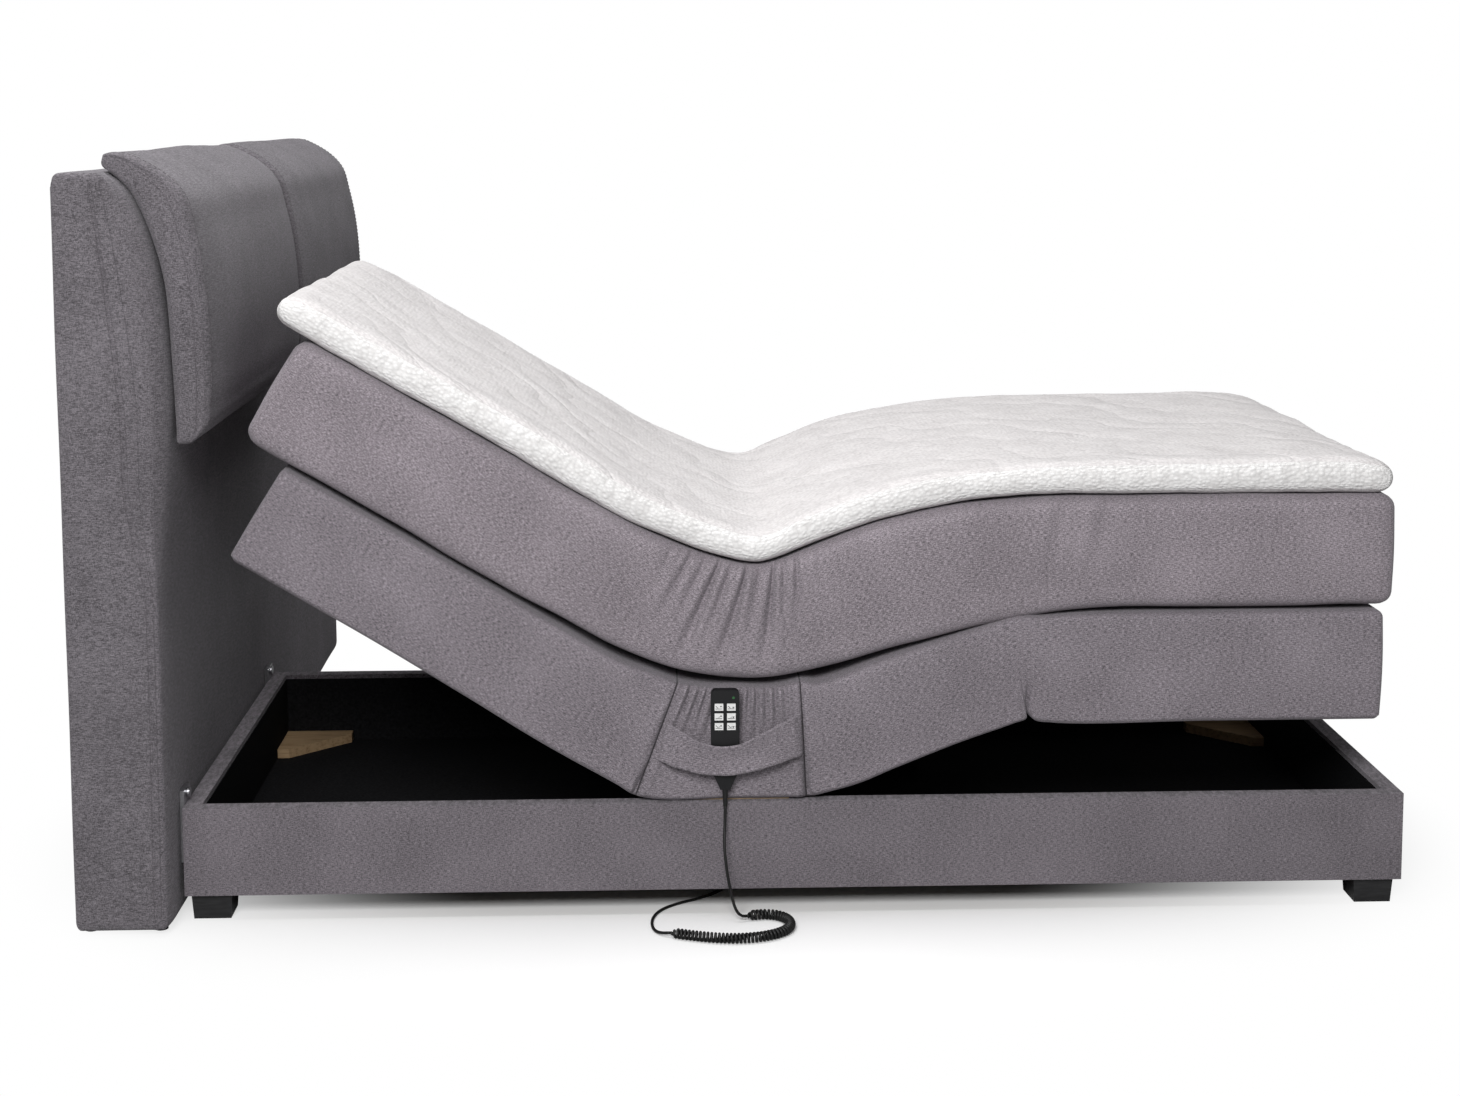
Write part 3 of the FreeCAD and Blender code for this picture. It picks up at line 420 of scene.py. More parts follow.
def soft_block(name, stations, width, radius, step=0.008, cuts=(), seams=(), disp=None, mats=None, mat_of=None, y0=0.0, end_radius=None,
               ystep=None, zn=None, shift=None, dense=(), yextra=()):
    """Closed padded block that follows stations of (lower point, upper point) in the X-Z plane, split at the cut stations."""
    B = np.array([s[0] for s in stations], float)
    T = np.array([s[1] for s in stations], float)
    mid = (B + T) / 2
    seg = np.linalg.norm(np.diff(mid, axis=0), axis=1)
    sk = np.concatenate([[0], np.cumsum(seg)])
    L = sk[-1]
    H = float(np.mean(np.linalg.norm(T - B, axis=1)))
    cut_x = [sk[c] for c in cuts]
    seam_x = [sk[c] if isinstance(c, int) else c for c in seams]
    er = end_radius or radius
    xs = axis(L, step, er, extra=list(seam_x) + list(cut_x), dense=dense)
    ys = axis(width, ystep or step * 1.6, radius, start=-width / 2, extra=yextra)
    zs = axis(H, zn or min(step * 1.2, H / 8), min(radius, H * 0.45))
    pts, quads, groups = surface_grid(xs, ys, zs)
    lim = np.array([[er, -width / 2 + radius, min(radius, H * 0.499)], [L - er, width / 2 - radius, H - min(radius, H * 0.499)]])
    rad = np.array([er, radius, min(radius, H * 0.499)])
    lift = [0.0]

    def place(p):
        inner = np.clip(p, lim[0], lim[1])
        dlt = (p - inner) / rad
        nrm = np.linalg.norm(dlt, axis=1)
        n = dlt / np.maximum(nrm, 1e-9)[:, None]
        q = inner + n * rad
        nn = n / np.maximum(np.linalg.norm(n, axis=1), 1e-9)[:, None]
        if disp is not None:
            q = q + nn * disp(p, nn, L, H)[:, None]
        q = q + nn * lift[0]
        if shift is not None:
            q = q + shift(p, L, H)
        s = np.clip(q[:, 0], 0, L)
        over = q[:, 0] - s
        b, t = hermite(sk, B, s), hermite(sk, T, s)
        tan = hermite(sk, (B + T) / 2, np.clip(s + 1e-3, 0, L)) - hermite(sk, (B + T) / 2, np.clip(s - 1e-3, 0, L))
        tan /= np.maximum(np.linalg.norm(tan, axis=1), 1e-9)[:, None]
        w = (q[:, 2] / H)[:, None]
        xz = b * (1 - w) + t * w + tan * over[:, None]
        return np.stack([xz[:, 0], q[:, 1] + y0 + SY, xz[:, 1]], -1)

    out = place(pts)

    def on(p, up=0.0):
        lift[0] = up
        r_ = place(np.asarray(p, float))
        lift[0] = 0.0
        return r_

    on.L, on.H = L, H
    vol = np.einsum("ij,ij->i", out[quads[:, 0]], np.cross(out[quads[:, 1]], out[quads[:, 2]])).sum() + np.einsum(
        "ij,ij->i", out[quads[:, 0]], np.cross(out[quads[:, 2]], out[quads[:, 3]])).sum()
    if vol < 0:
        quads = quads[:, ::-1].copy()
    normals = vertex_normals(out, quads)
    # texture coordinates in metres on each side
    uv = np.zeros((len(quads), 4, 2))
    for g, (i, j) in {0: (1, 2), 1: (0, 2), 2: (0, 1), 3: (0, 1)}.items():
        sel = groups == g
        uv[sel, :, 0] = pts[quads[sel]][:, :, i] + 3.1 * g
        uv[sel, :, 1] = pts[quads[sel]][:, :, j] + 1.7 * g
    cx = pts[quads].mean(1)[:, 0]
    mi = np.zeros(len(quads), int) if mat_of is None else mat_of(pts[quads].mean(1), groups, L, H)
    edges = [-1.0] + list(cut_x) + [L + 1.0]
    made = []
    for k in range(len(edges) - 1):
        sel = (cx > edges[k]) & (cx <= edges[k + 1])
        used, inv = np.unique(quads[sel], return_inverse=True)
        ob = make_mesh(name if len(edges) == 2 else "%s_%s" % (name, "abcdef"[k]), out[used], inv.reshape(-1, 4), uv[sel], normals[used],
                       mats or [M_FAB], mi[sel])
        made.append(ob)
    return made, on


def bumpfn(x, c, w):
    return np.exp(-((x - c) / w) ** 2)


# ------------------------------------------------------------------ mattress
mb, mt_ = 123.0, 309.0
kb = KZ + 115 + 6
mat_st = [
    (BACK(-829, mb), BACK(-829, mt_)), (BACK(-640, mb), BACK(-640, mt_ + 4)), (BACK(-440, mb), BACK(-440, mt_ + 7)), (BACK(-300, mb + 1), BACK(-300, mt_ + 7)),
    (P(646, 473), P(739, 641)), (P(711, 438), P(792, 619)), (P(765, 415), P(836, 600)), (P(820, 399), P(880, 586)), (P(870, 391), P(915, 578)),
    (P(912, 389), P(940, 577)), (P(955, 391), P(965, 583)), (P(1005, 398), P(1003, 598)), (P(1060, 410), P(1045, 615)), (P(1110, 423), P(1088, 631)),
    (P(1165, 438), P(1136, 646)), (P(1230, 455), P(1205, 662)), (P(1296, 471), P(1275, 674)), (P(1361, 483), P(1348, 681)), (P(1426, 492), P(1420, 685)),
    (P(1500, kb), P(1500, kb + 186)), (P(1700, kb), P(1700, kb + 186)), (P(1978, kb), P(1978, kb + 186))]
mw = waves(11, 14, 8, 26, 0.0030)
mw2 = waves(12, 10, 40, 75, 0.0008)


def seat_pleats(x, c, spread, n, seed):
    g = np.random.default_rng(seed)
    out = np.zeros_like(x)
    for i in range(n):
        ci = c + (i - (n - 1) / 2) / n * 2 * spread + g.uniform(-0.006, 0.006)
        out += bumpfn(x, ci, g.uniform(0.005, 0.010)) * g.uniform(0.6, 1.0) * (1 if i % 2 else -1)
    return out


def crease(x, zz, c, a, w, lean, low):
    """One fold: a groove with a soft ridge each side, narrow at the top edge and fading out below."""
    dx = x - c - lean * (1 - zz)
    ww = w * (1 + 1.9 * (1 - zz))
    fade = np.clip((zz - low) / 0.35, 0, 1) ** 0.8
    return fade * a * (-np.exp(-(dx / ww) ** 2) + 0.55 * np.exp(-((dx - 2.3 * ww) / (1.4 * ww)) ** 2) + 0.45 * np.exp(-((dx + 2.3 * ww) / (1.4 * ww)) ** 2))


def mattress_disp(p, n, L, H):
    x, y, z = p.T
    side = np.abs(n[:, 1])
    zz = z / H
    d = mw(p) * 0.8 + mw2(p)
    d += side * 0.005 * np.sin(np.pi * np.clip(zz, 0, 1))
    vx = VALLEY_S
    for c, a, w, lean, low in MAT_CREASES:
        d += side * crease(x, zz, c, a, w, lean, low)
    d += side * 0.0028 * np.sin((x - vx) * 48 + 4 * zz) * np.exp(-((x - vx) / 0.26) ** 2)
    # soft folds that run out over the thigh part
    for c in (0.46, 0.53):
        d += side * 0.0030 * (bumpfn(x - vx - 0.04 * zz, c, 0.010) - bumpfn(x - vx - 0.04 * zz, c + 0.022, 0.012)) * np.clip((zz - 0.25) * 2.5, 0, 1)
    return d


def arc_of(stations, i):
    B = np.array([s[0] for s in stations]); T = np.array([s[1] for s in stations])
    mid = (B + T) / 2
    return np.concatenate([[0], np.cumsum(np.linalg.norm(np.diff(mid, axis=0), axis=1))])[i]


VALLEY_S = arc_of(mat_st, 9)


def s_of_top(stations, bx):
    """Distance along the block of the station whose upper point is at bed x."""
    T = np.array([s[1][0] for s in stations])
    sk = np.array([arc_of(stations, i) for i in range(len(stations))])
    return float(np.interp(bx / 1000 + SX, T, sk))


MAT_CREASES = [(s_of_top(mat_st, bx), a, w, lean, low) for bx, a, w, lean, low in (
    (800, 0.0030, 0.0040, -0.020, 0.45), (829, 0.0052, 0.0036, -0.022, 0.30), (852, 0.0040, 0.0034, -0.020, 0.50), (874, 0.0085, 0.0034, -0.018, 0.15),
    (893, 0.0045, 0.0030, -0.012, 0.45), (918, 0.0095, 0.0036, -0.010, 0.05), (938, 0.0040, 0.0032, -0.004, 0.55), (961, 0.0090, 0.0036, -0.006, 0.10),
    (978, 0.0035, 0.0032, 0.004, 0.50), (997, 0.0060, 0.0036, 0.008, 0.35), (1030, 0.0026, 0.0040, 0.012, 0.55))]
mattress, _ = soft_block("mattress", mat_st, 0.890, 0.024, step=0.007, cuts=(9, 15), disp=mattress_disp, ystep=0.022, zn=0.0065, end_radius=0.028,
                         dense=((VALLEY_S - 0.17, VALLEY_S - 0.0125, 0.0022), (VALLEY_S + 0.0125, VALLEY_S + 0.14, 0.0022)))

# ------------------------------------------------------------------ topper
tb, tt = mt_ + 2.5, mt_ + 2.5 + 55
tk = kb + 186 + 2.5
top_st = [
    (BACK(-886, tb + 2), BACK(-886, tt - 6)), (BACK(-845, tb + 1), BACK(-845, tt)), (BACK(-700, tb + 3), BACK(-700, tt + 3)), (BACK(-480, tb + 7), BACK(-480, tt + 7)),
    (BACK(-330, tb + 7), BACK(-330, tt + 7)), (P(740, 643.5), P(766, 691)), (P(792, 621.5), P(815, 670)), (P(836, 602.5), P(856, 653)), (P(880, 588.5), P(892, 641)),
    (P(915, 580.5), P(922, 634)), (P(940, 579.5), P(942, 634)), (P(965, 585.5), P(961, 639)), (P(1003, 600.5), P(990, 653)), (P(1045, 617.5), P(1028, 669)),
    (P(1088, 633.5), P(1070, 686)), (P(1136, 648.5), P(1121, 702)), (P(1205, 664.5), P(1195, 719)), (P(1275, 676.5), P(1268, 731)), (P(1348, 683.5), P(1344, 738)),
    (P(1420, 687.5), P(1418, 742)), (P(1500, tk), P(1500, tk + 55)), (P(1700, tk), P(1700, tk + 55)), (P(1930, tk), P(1930, tk + 54)), (P(1973, tk), P(1973, tk + 46))]
tw = waves(21, 16, 10, 30, 0.0028)
tw2 = waves(22, 12, 60, 110, 0.0007)


def topper_disp(p, n, L, H):
    x, y, z = p.T
    up = np.clip(n[:, 2], 0, 1)
    side = np.abs(n[:, 1]) + np.abs(n[:, 0])
    d = tw(p) + tw2(p)
    q1 = np.abs(np.sin(x * 17 + 1.1 * np.sin(y * 15) + y * 5)) ** 0.5
    q2 = np.abs(np.sin(y * 21 + 1.3 * np.sin(x * 12) - x * 3)) ** 0.5
    d += up * 0.0022 * (q1 * q2 - 0.6)
    # small ripples of the loose knit along the border
    d += side * 0.0010 * np.sin(x * 190 + 2 * np.sin(x * 31)) * np.sin(np.pi * z / H)
    return d


def topper_mats(c, g, L, H):
    return np.where((g == 1) | (g == 0), 1, 0)


topper, _ = soft_block("topper", top_st, 0.884, 0.024, step=0.0075, cuts=(10, 16), disp=topper_disp, mats=[M_TOP, M_BORDER], mat_of=topper_mats,
                       ystep=0.009, zn=0.006, end_radius=0.026)

# ------------------------------------------------------------------ sprung box cover
lo_, hi_ = -69.0, 114.0
box_st = [
    (BACK(-749, lo_ + 11), BACK(-749, hi_)), (BACK(-560, lo_ + 10), BACK(-560, hi_)), (BACK(-320, lo_ + 6), BACK(-320, hi_)), (BACK(-120, lo_ + 1), BACK(-115, hi_ + 1)),
    (P(702, 215), P(758, 402)), (P(733, 196), P(803, 385)), (P(765, 189), P(832, 379)), (P(880, 188.6), P(905, 377)), (P(985, 188.6), P(975, 379)),
    (P(1014, 189.5), P(1003, 385)), (THIGH(28, lo_), THIGH(40, hi_)), (THIGH(120, lo_ + 3), THIGH(130, hi_)), (THIGH(230, lo_ + 7), THIGH(240, hi_)),
    (THIGH(325, lo_ + 8), THIGH(330, hi_ - 1)), (THIGH(345, lo_ + 9), THIGH(352, hi_ - 1)), (P(KX - 2, KZ - 52), P(KX - 18, KZ + 112)),
    (P(KX + 16, KZ + lo_ + 3), P(KX + 25, KZ + hi_ - 2)), (P(KX + 40, KZ + lo_), P(KX + 70, KZ + hi_)), (P(KX + 300, KZ + lo_), P(KX + 300, KZ + hi_)),
    (P(KX + 585, KZ + lo_), P(KX + 585, KZ + hi_))]
bw_ = waves(31, 14, 8, 24, 0.0026)
S_SEAM1, S_SEAM2, S_TUCK = arc_of(box_st, 5), arc_of(box_st, 9), arc_of(box_st, 15)
S_SEATMID = arc_of(box_st, 7)


def box_disp(p, n, L, H):
    x, y, z = p.T
    side = np.abs(n[:, 1])
    zz = np.clip(z / H, 0, 1)
    d = bw_(p) * 0.8
    d += side * 0.0045 * np.sin(np.pi * zz)
    for sm in (S_SEAM1, S_SEAM2):
        d -= side * 0.0050 * bumpfn(x, sm, 0.0032)
        d += side * 0.0022 * (bumpfn(x, sm - 0.012, 0.008) + bumpfn(x, sm + 0.012, 0.008))
    # tucks at the lower corners of the fixed part
    d -= side * 0.013 * bumpfn(x, S_SEAM2 + 0.004 * (0.4 - zz), 0.0042) * np.clip((0.45 - zz) / 0.25, 0, 1)
    d -= side * 0.008 * bumpfn(x, S_SEAM1 - 0.020 * np.clip(0.3 - zz, 0, 1), 0.0036) * np.clip((0.35 - zz) / 0.2, 0, 1)
    # small gathered fold under the knee
    low = np.clip((0.40 - zz) / 0.2, 0, 1)
    d += low * side * (0.010 * bumpfn(x, S_TUCK - 0.008 - 0.02 * zz, 0.007) - 0.010 * bumpfn(x, S_TUCK + 0.005 + 0.03 * zz, 0.0045))
    for c, a, w, lean, lo2 in BOX_CREASES:
        d += side * crease(x, zz, c, a, w, lean, lo2)
    # the underside is stretched flat over its frame and clears the plinth
    return np.where(n[:, 2] < -0.35, np.minimum(d, 0) - 0.0012, d)


BOX_CREASES = [(s_of_top(box_st, bx), a, w, lean, low) for bx, a, w, lean, low in (
    (812, 0.0070, 0.0034, -0.012, 0.35), (826, 0.0060, 0.0030, -0.010, 0.45), (841, 0.0050, 0.0030, -0.006, 0.50), (852, 0.0045, 0.0028, -0.004, 0.55),
    (868, 0.0050, 0.0028, -0.002, 0.55), (890, 0.0045, 0.0028, 0.0, 0.55), (908, 0.0060, 0.0030, 0.002, 0.50), (921, 0.0050, 0.0028, 0.003, 0.55),
    (934, 0.0060, 0.0030, 0.003, 0.50), (949, 0.0055, 0.0030, 0.004, 0.55), (963, 0.0060, 0.0030, 0.004, 0.50), (978, 0.0050, 0.0030, 0.004, 0.55),
    (990, 0.0045, 0.0030, 0.004, 0.60))]
boxc, _ = soft_block("box_cover", box_st, 0.892, 0.011, step=0.008, cuts=(7, 12), seams=(5, 9), disp=box_disp, ystep=0.03, zn=0.006, mats=[M_BOX],
                     dense=((S_SEAM1 + 0.0125, S_SEATMID - 0.0125, 0.0022), (S_SEATMID + 0.0125, S_SEAM2 - 0.0125, 0.0022), (S_TUCK - 0.035, S_TUCK + 0.035, 0.0025)))



def seam_lines(mat, places, period, half=0.0011):
    """Dark needle lines across the cloth where two panels meet."""
    t = mat.node_tree
    bsdf = next(nd for nd in t.nodes if nd.type == "BSDF_PRINCIPLED")
    src = bsdf.inputs["Base Color"].links[0].from_socket
    uvn = t.nodes.new("ShaderNodeTexCoord")
    sp = t.nodes.new("ShaderNodeSeparateXYZ")
    t.links.new(uvn.outputs["UV"], sp.inputs[0])
    wrap = t.nodes.new("ShaderNodeMath")
    wrap.operation = "MODULO"
    t.links.new(sp.outputs["X"], wrap.inputs[0])
    wrap.inputs[1].default_value = period
    factor = None
    for place in places:
        df = t.nodes.new("ShaderNodeMath")
        df.operation = "SUBTRACT"
        t.links.new(wrap.outputs[0], df.inputs[0])
        df.inputs[1].default_value = place
        ab = t.nodes.new("ShaderNodeMath")
        ab.operation = "ABSOLUTE"
        t.links.new(df.outputs[0], ab.inputs[0])
        mr = t.nodes.new("ShaderNodeMapRange")
        mr.interpolation_type = "SMOOTHSTEP"
        mr.inputs["From Min"].default_value, mr.inputs["From Max"].default_value = half * 0.5, half * 1.8
        mr.inputs["To Min"].default_value, mr.inputs["To Max"].default_value = 0.16, 1.0
        t.links.new(ab.outputs[0], mr.inputs["Value"])
        if factor is None:
            factor = mr.outputs[0]
        else:
            mu = t.nodes.new("ShaderNodeMath")
            mu.operation = "MULTIPLY"
            t.links.new(factor, mu.inputs[0])
            t.links.new(mr.outputs[0], mu.inputs[1])
            factor = mu.outputs[0]
    sc = t.nodes.new("ShaderNodeVectorMath")
    sc.operation = "SCALE"
    t.links.new(src, sc.inputs[0])
    t.links.new(factor, sc.inputs["Scale"])
    t.links.new(sc.outputs["Vector"], bsdf.inputs["Base Color"])


seam_lines(M_BOX, (S_SEAM1, S_SEAM2), 3.1)

# ------------------------------------------------------------------ headboard


def F(b, z):
    return (b / 1000.0 + SX, z / 1000.0)


front = [(-8, 10), (-8, 200), (-8, 420), (-8, 600), (4, 740), (9, 850), (6, 943), (0, 1014), (-12, 1090), (-30, 1150), (-55, 1196), (-82, 1218)]
hb_st = [(F(-159.5, z), F(x, z)) for x, z in front]
HW, HY0 = 1.948, 0.450
seam_x = [(10, -19), (552, -17), (714, -37), (851, -38), (943, -47), (1014, -56), (1133, -73), (1205, -88)]


def seam_depth(zb):
    return np.interp(zb, [q[0] for q in seam_x], [q[1] for q in seam_x])


def head_disp(p, n, L, H):
    x, y, z = p.T
    fr = np.clip(n[:, 2], 0, 1)
    side = np.abs(n[:, 1])
    d = HBW(p)
    fx = np.interp(10 + x * 1000, [q[1] for q in front], [q[0] for q in front])
    edge = (seam_depth(10 + x * 1000) + 159.5) / (fx + 159.5) * H
    d -= side * 0.0026 * bumpfn(z, edge, 0.0028)
    d += side * 0.0016 * bumpfn(z, edge - 0.007, 0.004)
    return d


HBW = waves(41, 12, 6, 20, 0.0014)


def rear_round(p, L, r_):
    """Drop that rounds the upper rear edge of an upright block."""
    a = np.clip((r_ - p[:, 2]) / r_, 0, 1)
    b = np.clip((p[:, 0] - (L - r_ * 1.15)) / (r_ * 1.15), 0, 1)
    return 0.85 * r_ * (1 - np.sqrt(np.clip(1 - a ** 2, 0, 1))) * b


def head_shift(p, L, H):
    """Rolls the padded front edges back in plan."""
    x, y, z = p.T
    out = np.zeros_like(p)
    a = np.clip((np.abs(y) - (HW / 2 - 0.060)) / 0.060, 0, 1)
    fx = np.interp(10 + x * 1000, [q[1] for q in front], [q[0] for q in front])
    roll_ = (fx - seam_depth(10 + x * 1000)) / 1000 * H / (fx + 159.5) * 1000 * 0.9
    fz = np.clip((z / H - 0.35) / 0.65, 0, 1) ** 1.2
    out[:, 2] -= roll_ * (1 - np.sqrt(np.clip(1 - a**2.2, 0, 1))) * fz
    out[:, 0] -= rear_round(p, L, 0.026)
    return out


headb, on_head = soft_block("headboard_upholstery", hb_st, HW, 0.009, step=0.011, disp=head_disp, shift=head_shift, mats=[M_HEAD_SHADED], ystep=0.014, zn=0.0035,
                            end_radius=0.016, y0=HY0, yextra=(-HW / 2 + 0.03, HW / 2 - 0.03))


def stitch_row(name, pts, mat, r_=0.00065, dash=0.0062, gap=0.0026):
    """Short thread stitches along a line of points."""
    d = np.concatenate([[0], np.cumsum(np.linalg.norm(np.diff(pts, axis=0), axis=1))])
    vs, fs = [], []
    t = 0.004
    while t + dash < d[-1] - 0.004:
        seg = np.array([[np.interp(t + dash * q, d, pts[:, i]) for i in range(3)] for q in (0, 0.2, 0.8, 1)])
        ax = seg[-1] - seg[0]
        ax /= np.linalg.norm(ax)
        e1 = np.cross(ax, [0, 1, 0] if abs(ax[1]) < 0.8 else [1, 0, 0]); e1 /= np.linalg.norm(e1)
        e2 = np.cross(ax, e1)
        base = len(vs)
        for k_, sc in enumerate((0.35, 1, 1, 0.35)):
            for m_ in range(6):
                an = m_ * math.pi / 3
                vs.append(tuple(seg[k_] + (e1 * math.cos(an) + e2 * math.sin(an)) * r_ * sc))
        for k_ in range(3):
            for m_ in range(6):
                fs.append((base + k_ * 6 + m_, base + k_ * 6 + (m_ + 1) % 6, base + (k_ + 1) * 6 + (m_ + 1) % 6, base + (k_ + 1) * 6 + m_))
        fs.append(tuple(base + m_ for m_ in range(5, -1, -1)))
        fs.append(tuple(base + 18 + m_ for m_ in range(6)))
        t += dash + gap
    me = bpy.data.meshes.new(name)
    me.from_pydata(vs, [], fs)
    me.materials.append(mat)
    me.polygons.foreach_set("use_smooth", np.ones(len(fs), bool))
    me.update()
    ob = bpy.data.objects.new(name, me)
    bpy.context.scene.collection.objects.link(ob)
    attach(ob, "root")
    return ob


zz_ = np.linspace(0.02, on_head.L - 0.02, 160)
fx_ = np.interp(10 + zz_ * 1000, [q[1] for q in front], [q[0] for q in front])
ed_ = (seam_depth(10 + zz_ * 1000) + 159.5) / (fx_ + 159.5) * on_head.H
for nm, sgn in (("near", -1), ("far", 1)):
    for k_, off in (("a", -0.006), ("b", 0.006)):
        stitch_row("headboard_stitch_%s_%s" % (nm, k_), on_head(np.stack([zz_, np.full_like(zz_, sgn * HW / 2), ed_ + off], -1), 0.0003), M_GRASS)


CW = 0.930


def cushion(name, y0, seed):
    rear = [(14, 789), (15, 802), (13.5, 850), (11, 919), (7.5, 985), (2.5, 1040), (-13, 1110), (-27, 1152), (-45, 1188), (-62, 1206), (-78, 1218), (-92, 1223)]
    gus = [(38, 790), (54, 808), (63, 850), (66, 919), (65, 985), (60, 1045), (46, 1125), (32, 1178), (4, 1211), (-30, 1233), (-62, 1246), (-86, 1247)]
    st = [(F(*a), F(*b)) for a, b in zip(rear, gus)]
    w1 = waves(seed, 12, 6, 16, 0.0028)
    w2 = waves(seed + 5, 10, 30, 60, 0.0007)

    def disp(p, n, L, H):
        x, y, z = p.T
        up = np.clip(n[:, 2], 0, 1)
        s = x / L
        yy = np.clip(np.abs(y) / (CW / 2), 0, 1)
        crown = (1 - yy ** 5) * np.clip(np.sin(np.pi * np.clip(s * 0.96 + 0.02, 0, 1)), 0, 1) ** 0.55
        d = up * 0.013 * crown + w1(p) * (0.35 + up) + w2(p)
        side = np.abs(n[:, 1])
        d += side * 0.006 * np.sin(np.pi * np.clip(s, 0, 1)) * np.sin(np.pi * np.clip(z / H, 0, 1))
        # seam between the side strip and the front panel
        d -= 0.0026 * bumpfn(z, H - 0.0095, 0.0022) * side
        d += up * 0.0012 * bumpfn(np.abs(y), CW / 2 - 0.012, 0.004)
        # pinch where the side strip is drawn in near the lower corner
        d -= side * 0.004 * bumpfn(s, 0.155, 0.018) * np.clip(1 - z / H / 0.5, 0, 1)
        return d

    def shift(p, L, H):
        out = np.zeros_like(p)
        out[:, 0] -= rear_round(p, L, 0.022)
        return out

    made, on = soft_block(name, st, CW, 0.009, step=0.008, disp=disp, shift=shift, mats=[M_HEAD_SHADED], y0=y0, ystep=0.012, zn=0.0035, end_radius=0.014,
                          yextra=(-CW / 2 + 0.012, CW / 2 - 0.012))
    xs_ = np.linspace(0.015, on.L - 0.015, 120)
    for tag, sgn in (("a", -1), ("b", 1)):
        stitch_row("%s_stitch_%s" % (name, tag), on(np.stack([xs_, np.full_like(xs_, sgn * CW / 2), np.full_like(xs_, on.H - 0.014)], -1), 0.0003), M_GRASS)
        stitch_row("%s_stitch_%s2" % (name, tag), on(np.stack([xs_, np.full_like(xs_, sgn * (CW / 2 - 0.013)), np.full_like(xs_, on.H)], -1), 0.0003), M_GRASS)
    return made[0]


cn = cushion("cushion_near", HY0 - 0.4675, 51)
cf = cushion("cushion_far", HY0 + 0.4675, 52)


# ------------------------------------------------------------------ plinth upholstery
soften("plinth_cover", 0.006, 4, 40)
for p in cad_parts["plinth_cover"].data.polygons:
    p.use_smooth = True

# ------------------------------------------------------------------ pocket band


def pocket():
    top = [(786, 326), (815, 308), (845, 293), (880, 288), (912, 295), (950, 314), (985, 331), (1003, 338)]
    bot = [(771, 262), (800, 252), (838, 243), (880, 240), (918, 245), (955, 254), (985, 263), (1006, 268)]
    nu, nv = 90, 26
    uu = np.linspace(0, 1, nu)
    sk = np.linspace(0, 1, len(top))
    tp = hermite(sk, np.array([F(*q) for q in top]), uu)
    bp = hermite(sk, np.array([F(*q) for q in bot]), uu)
    pts, uvs = [], []
    rows = []
    for v in range(nv):
        w = v / (nv - 1)
        c = bp * (1 - w) + tp * w
        bulge = np.clip(np.sin(np.pi * uu), 0, 1) ** 0.55
        y = SY - 0.4565 - 0.0185 * bulge
        y += 0.0016 * np.sin(uu * 38 + 3 * w) * (1 - bulge * 0.5) - 0.0012 * np.sin(w * math.pi) * np.sin(uu * 9)
        y -= 0.0020 * np.cos(w * 2 * math.pi) * (1 - np.abs(2 * uu - 1))
        y -= 0.0012 * (bumpfn(w, 0.93, 0.03) + bumpfn(w, 0.07, 0.03))
        rows.append(np.stack([c[:, 0], y, c[:, 1]], -1))
    A = np.array(rows)
    back = A.copy(); back[:, :, 1] += 0.0024
    allp = np.concatenate([A.reshape(-1, 3), back.reshape(-1, 3)])
    off = nu * nv
    quads = []
    for v in range(nv - 1):
        for i in range(nu - 1):
            a = v * nu + i
            quads.append((a, a + 1, a + nu + 1, a + nu))
            quads.append((off + a, off + a + nu, off + a + nu + 1, off + a + 1))
    rim = [i for i in range(nu)] + [v * nu + nu - 1 for v in range(1, nv)] + [(nv - 1) * nu + i for i in range(nu - 2, -1, -1)] + [v * nu for v in range(nv - 2, 0, -1)]
    for a, b in zip(rim, rim[1:] + rim[:1]):
        quads.append((b, a, a + off, b + off))
    quads = np.array(quads)
    uv = allp[quads][:, :, [0, 2]]
    return make_mesh("handset_pocket_band", allp, quads, uv, None, [M_BOX], np.zeros(len(quads), int))


pk = pocket()
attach(pk, "root")
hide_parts("handset_pocket")

# ------------------------------------------------------------------ handset details


def prism(name, outline, y_front, depth, mat, body, cx, cz):
    me = bpy.data.meshes.new(name)
    n = len(outline)
    vs = [(cx + x, y_front, cz + z) for x, z in outline] + [(cx + x, y_front + depth, cz + z) for x, z in outline]
    fs = [tuple(range(n)), tuple(range(2 * n - 1, n - 1, -1))] + [(i, i + n, (i + 1) % n + n, (i + 1) % n) for i in range(n)]
    me.from_pydata(vs, [], fs)
    me.materials.append(mat)
    me.update()
    bm = bmesh.new(); bm.from_mesh(me); bmesh.ops.recalc_face_normals(bm, faces=bm.faces); bm.to_mesh(me); bm.free()
    ob = bpy.data.objects.new(name, me)
    bpy.context.scene.collection.objects.link(ob)
    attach(ob, body)
    return ob


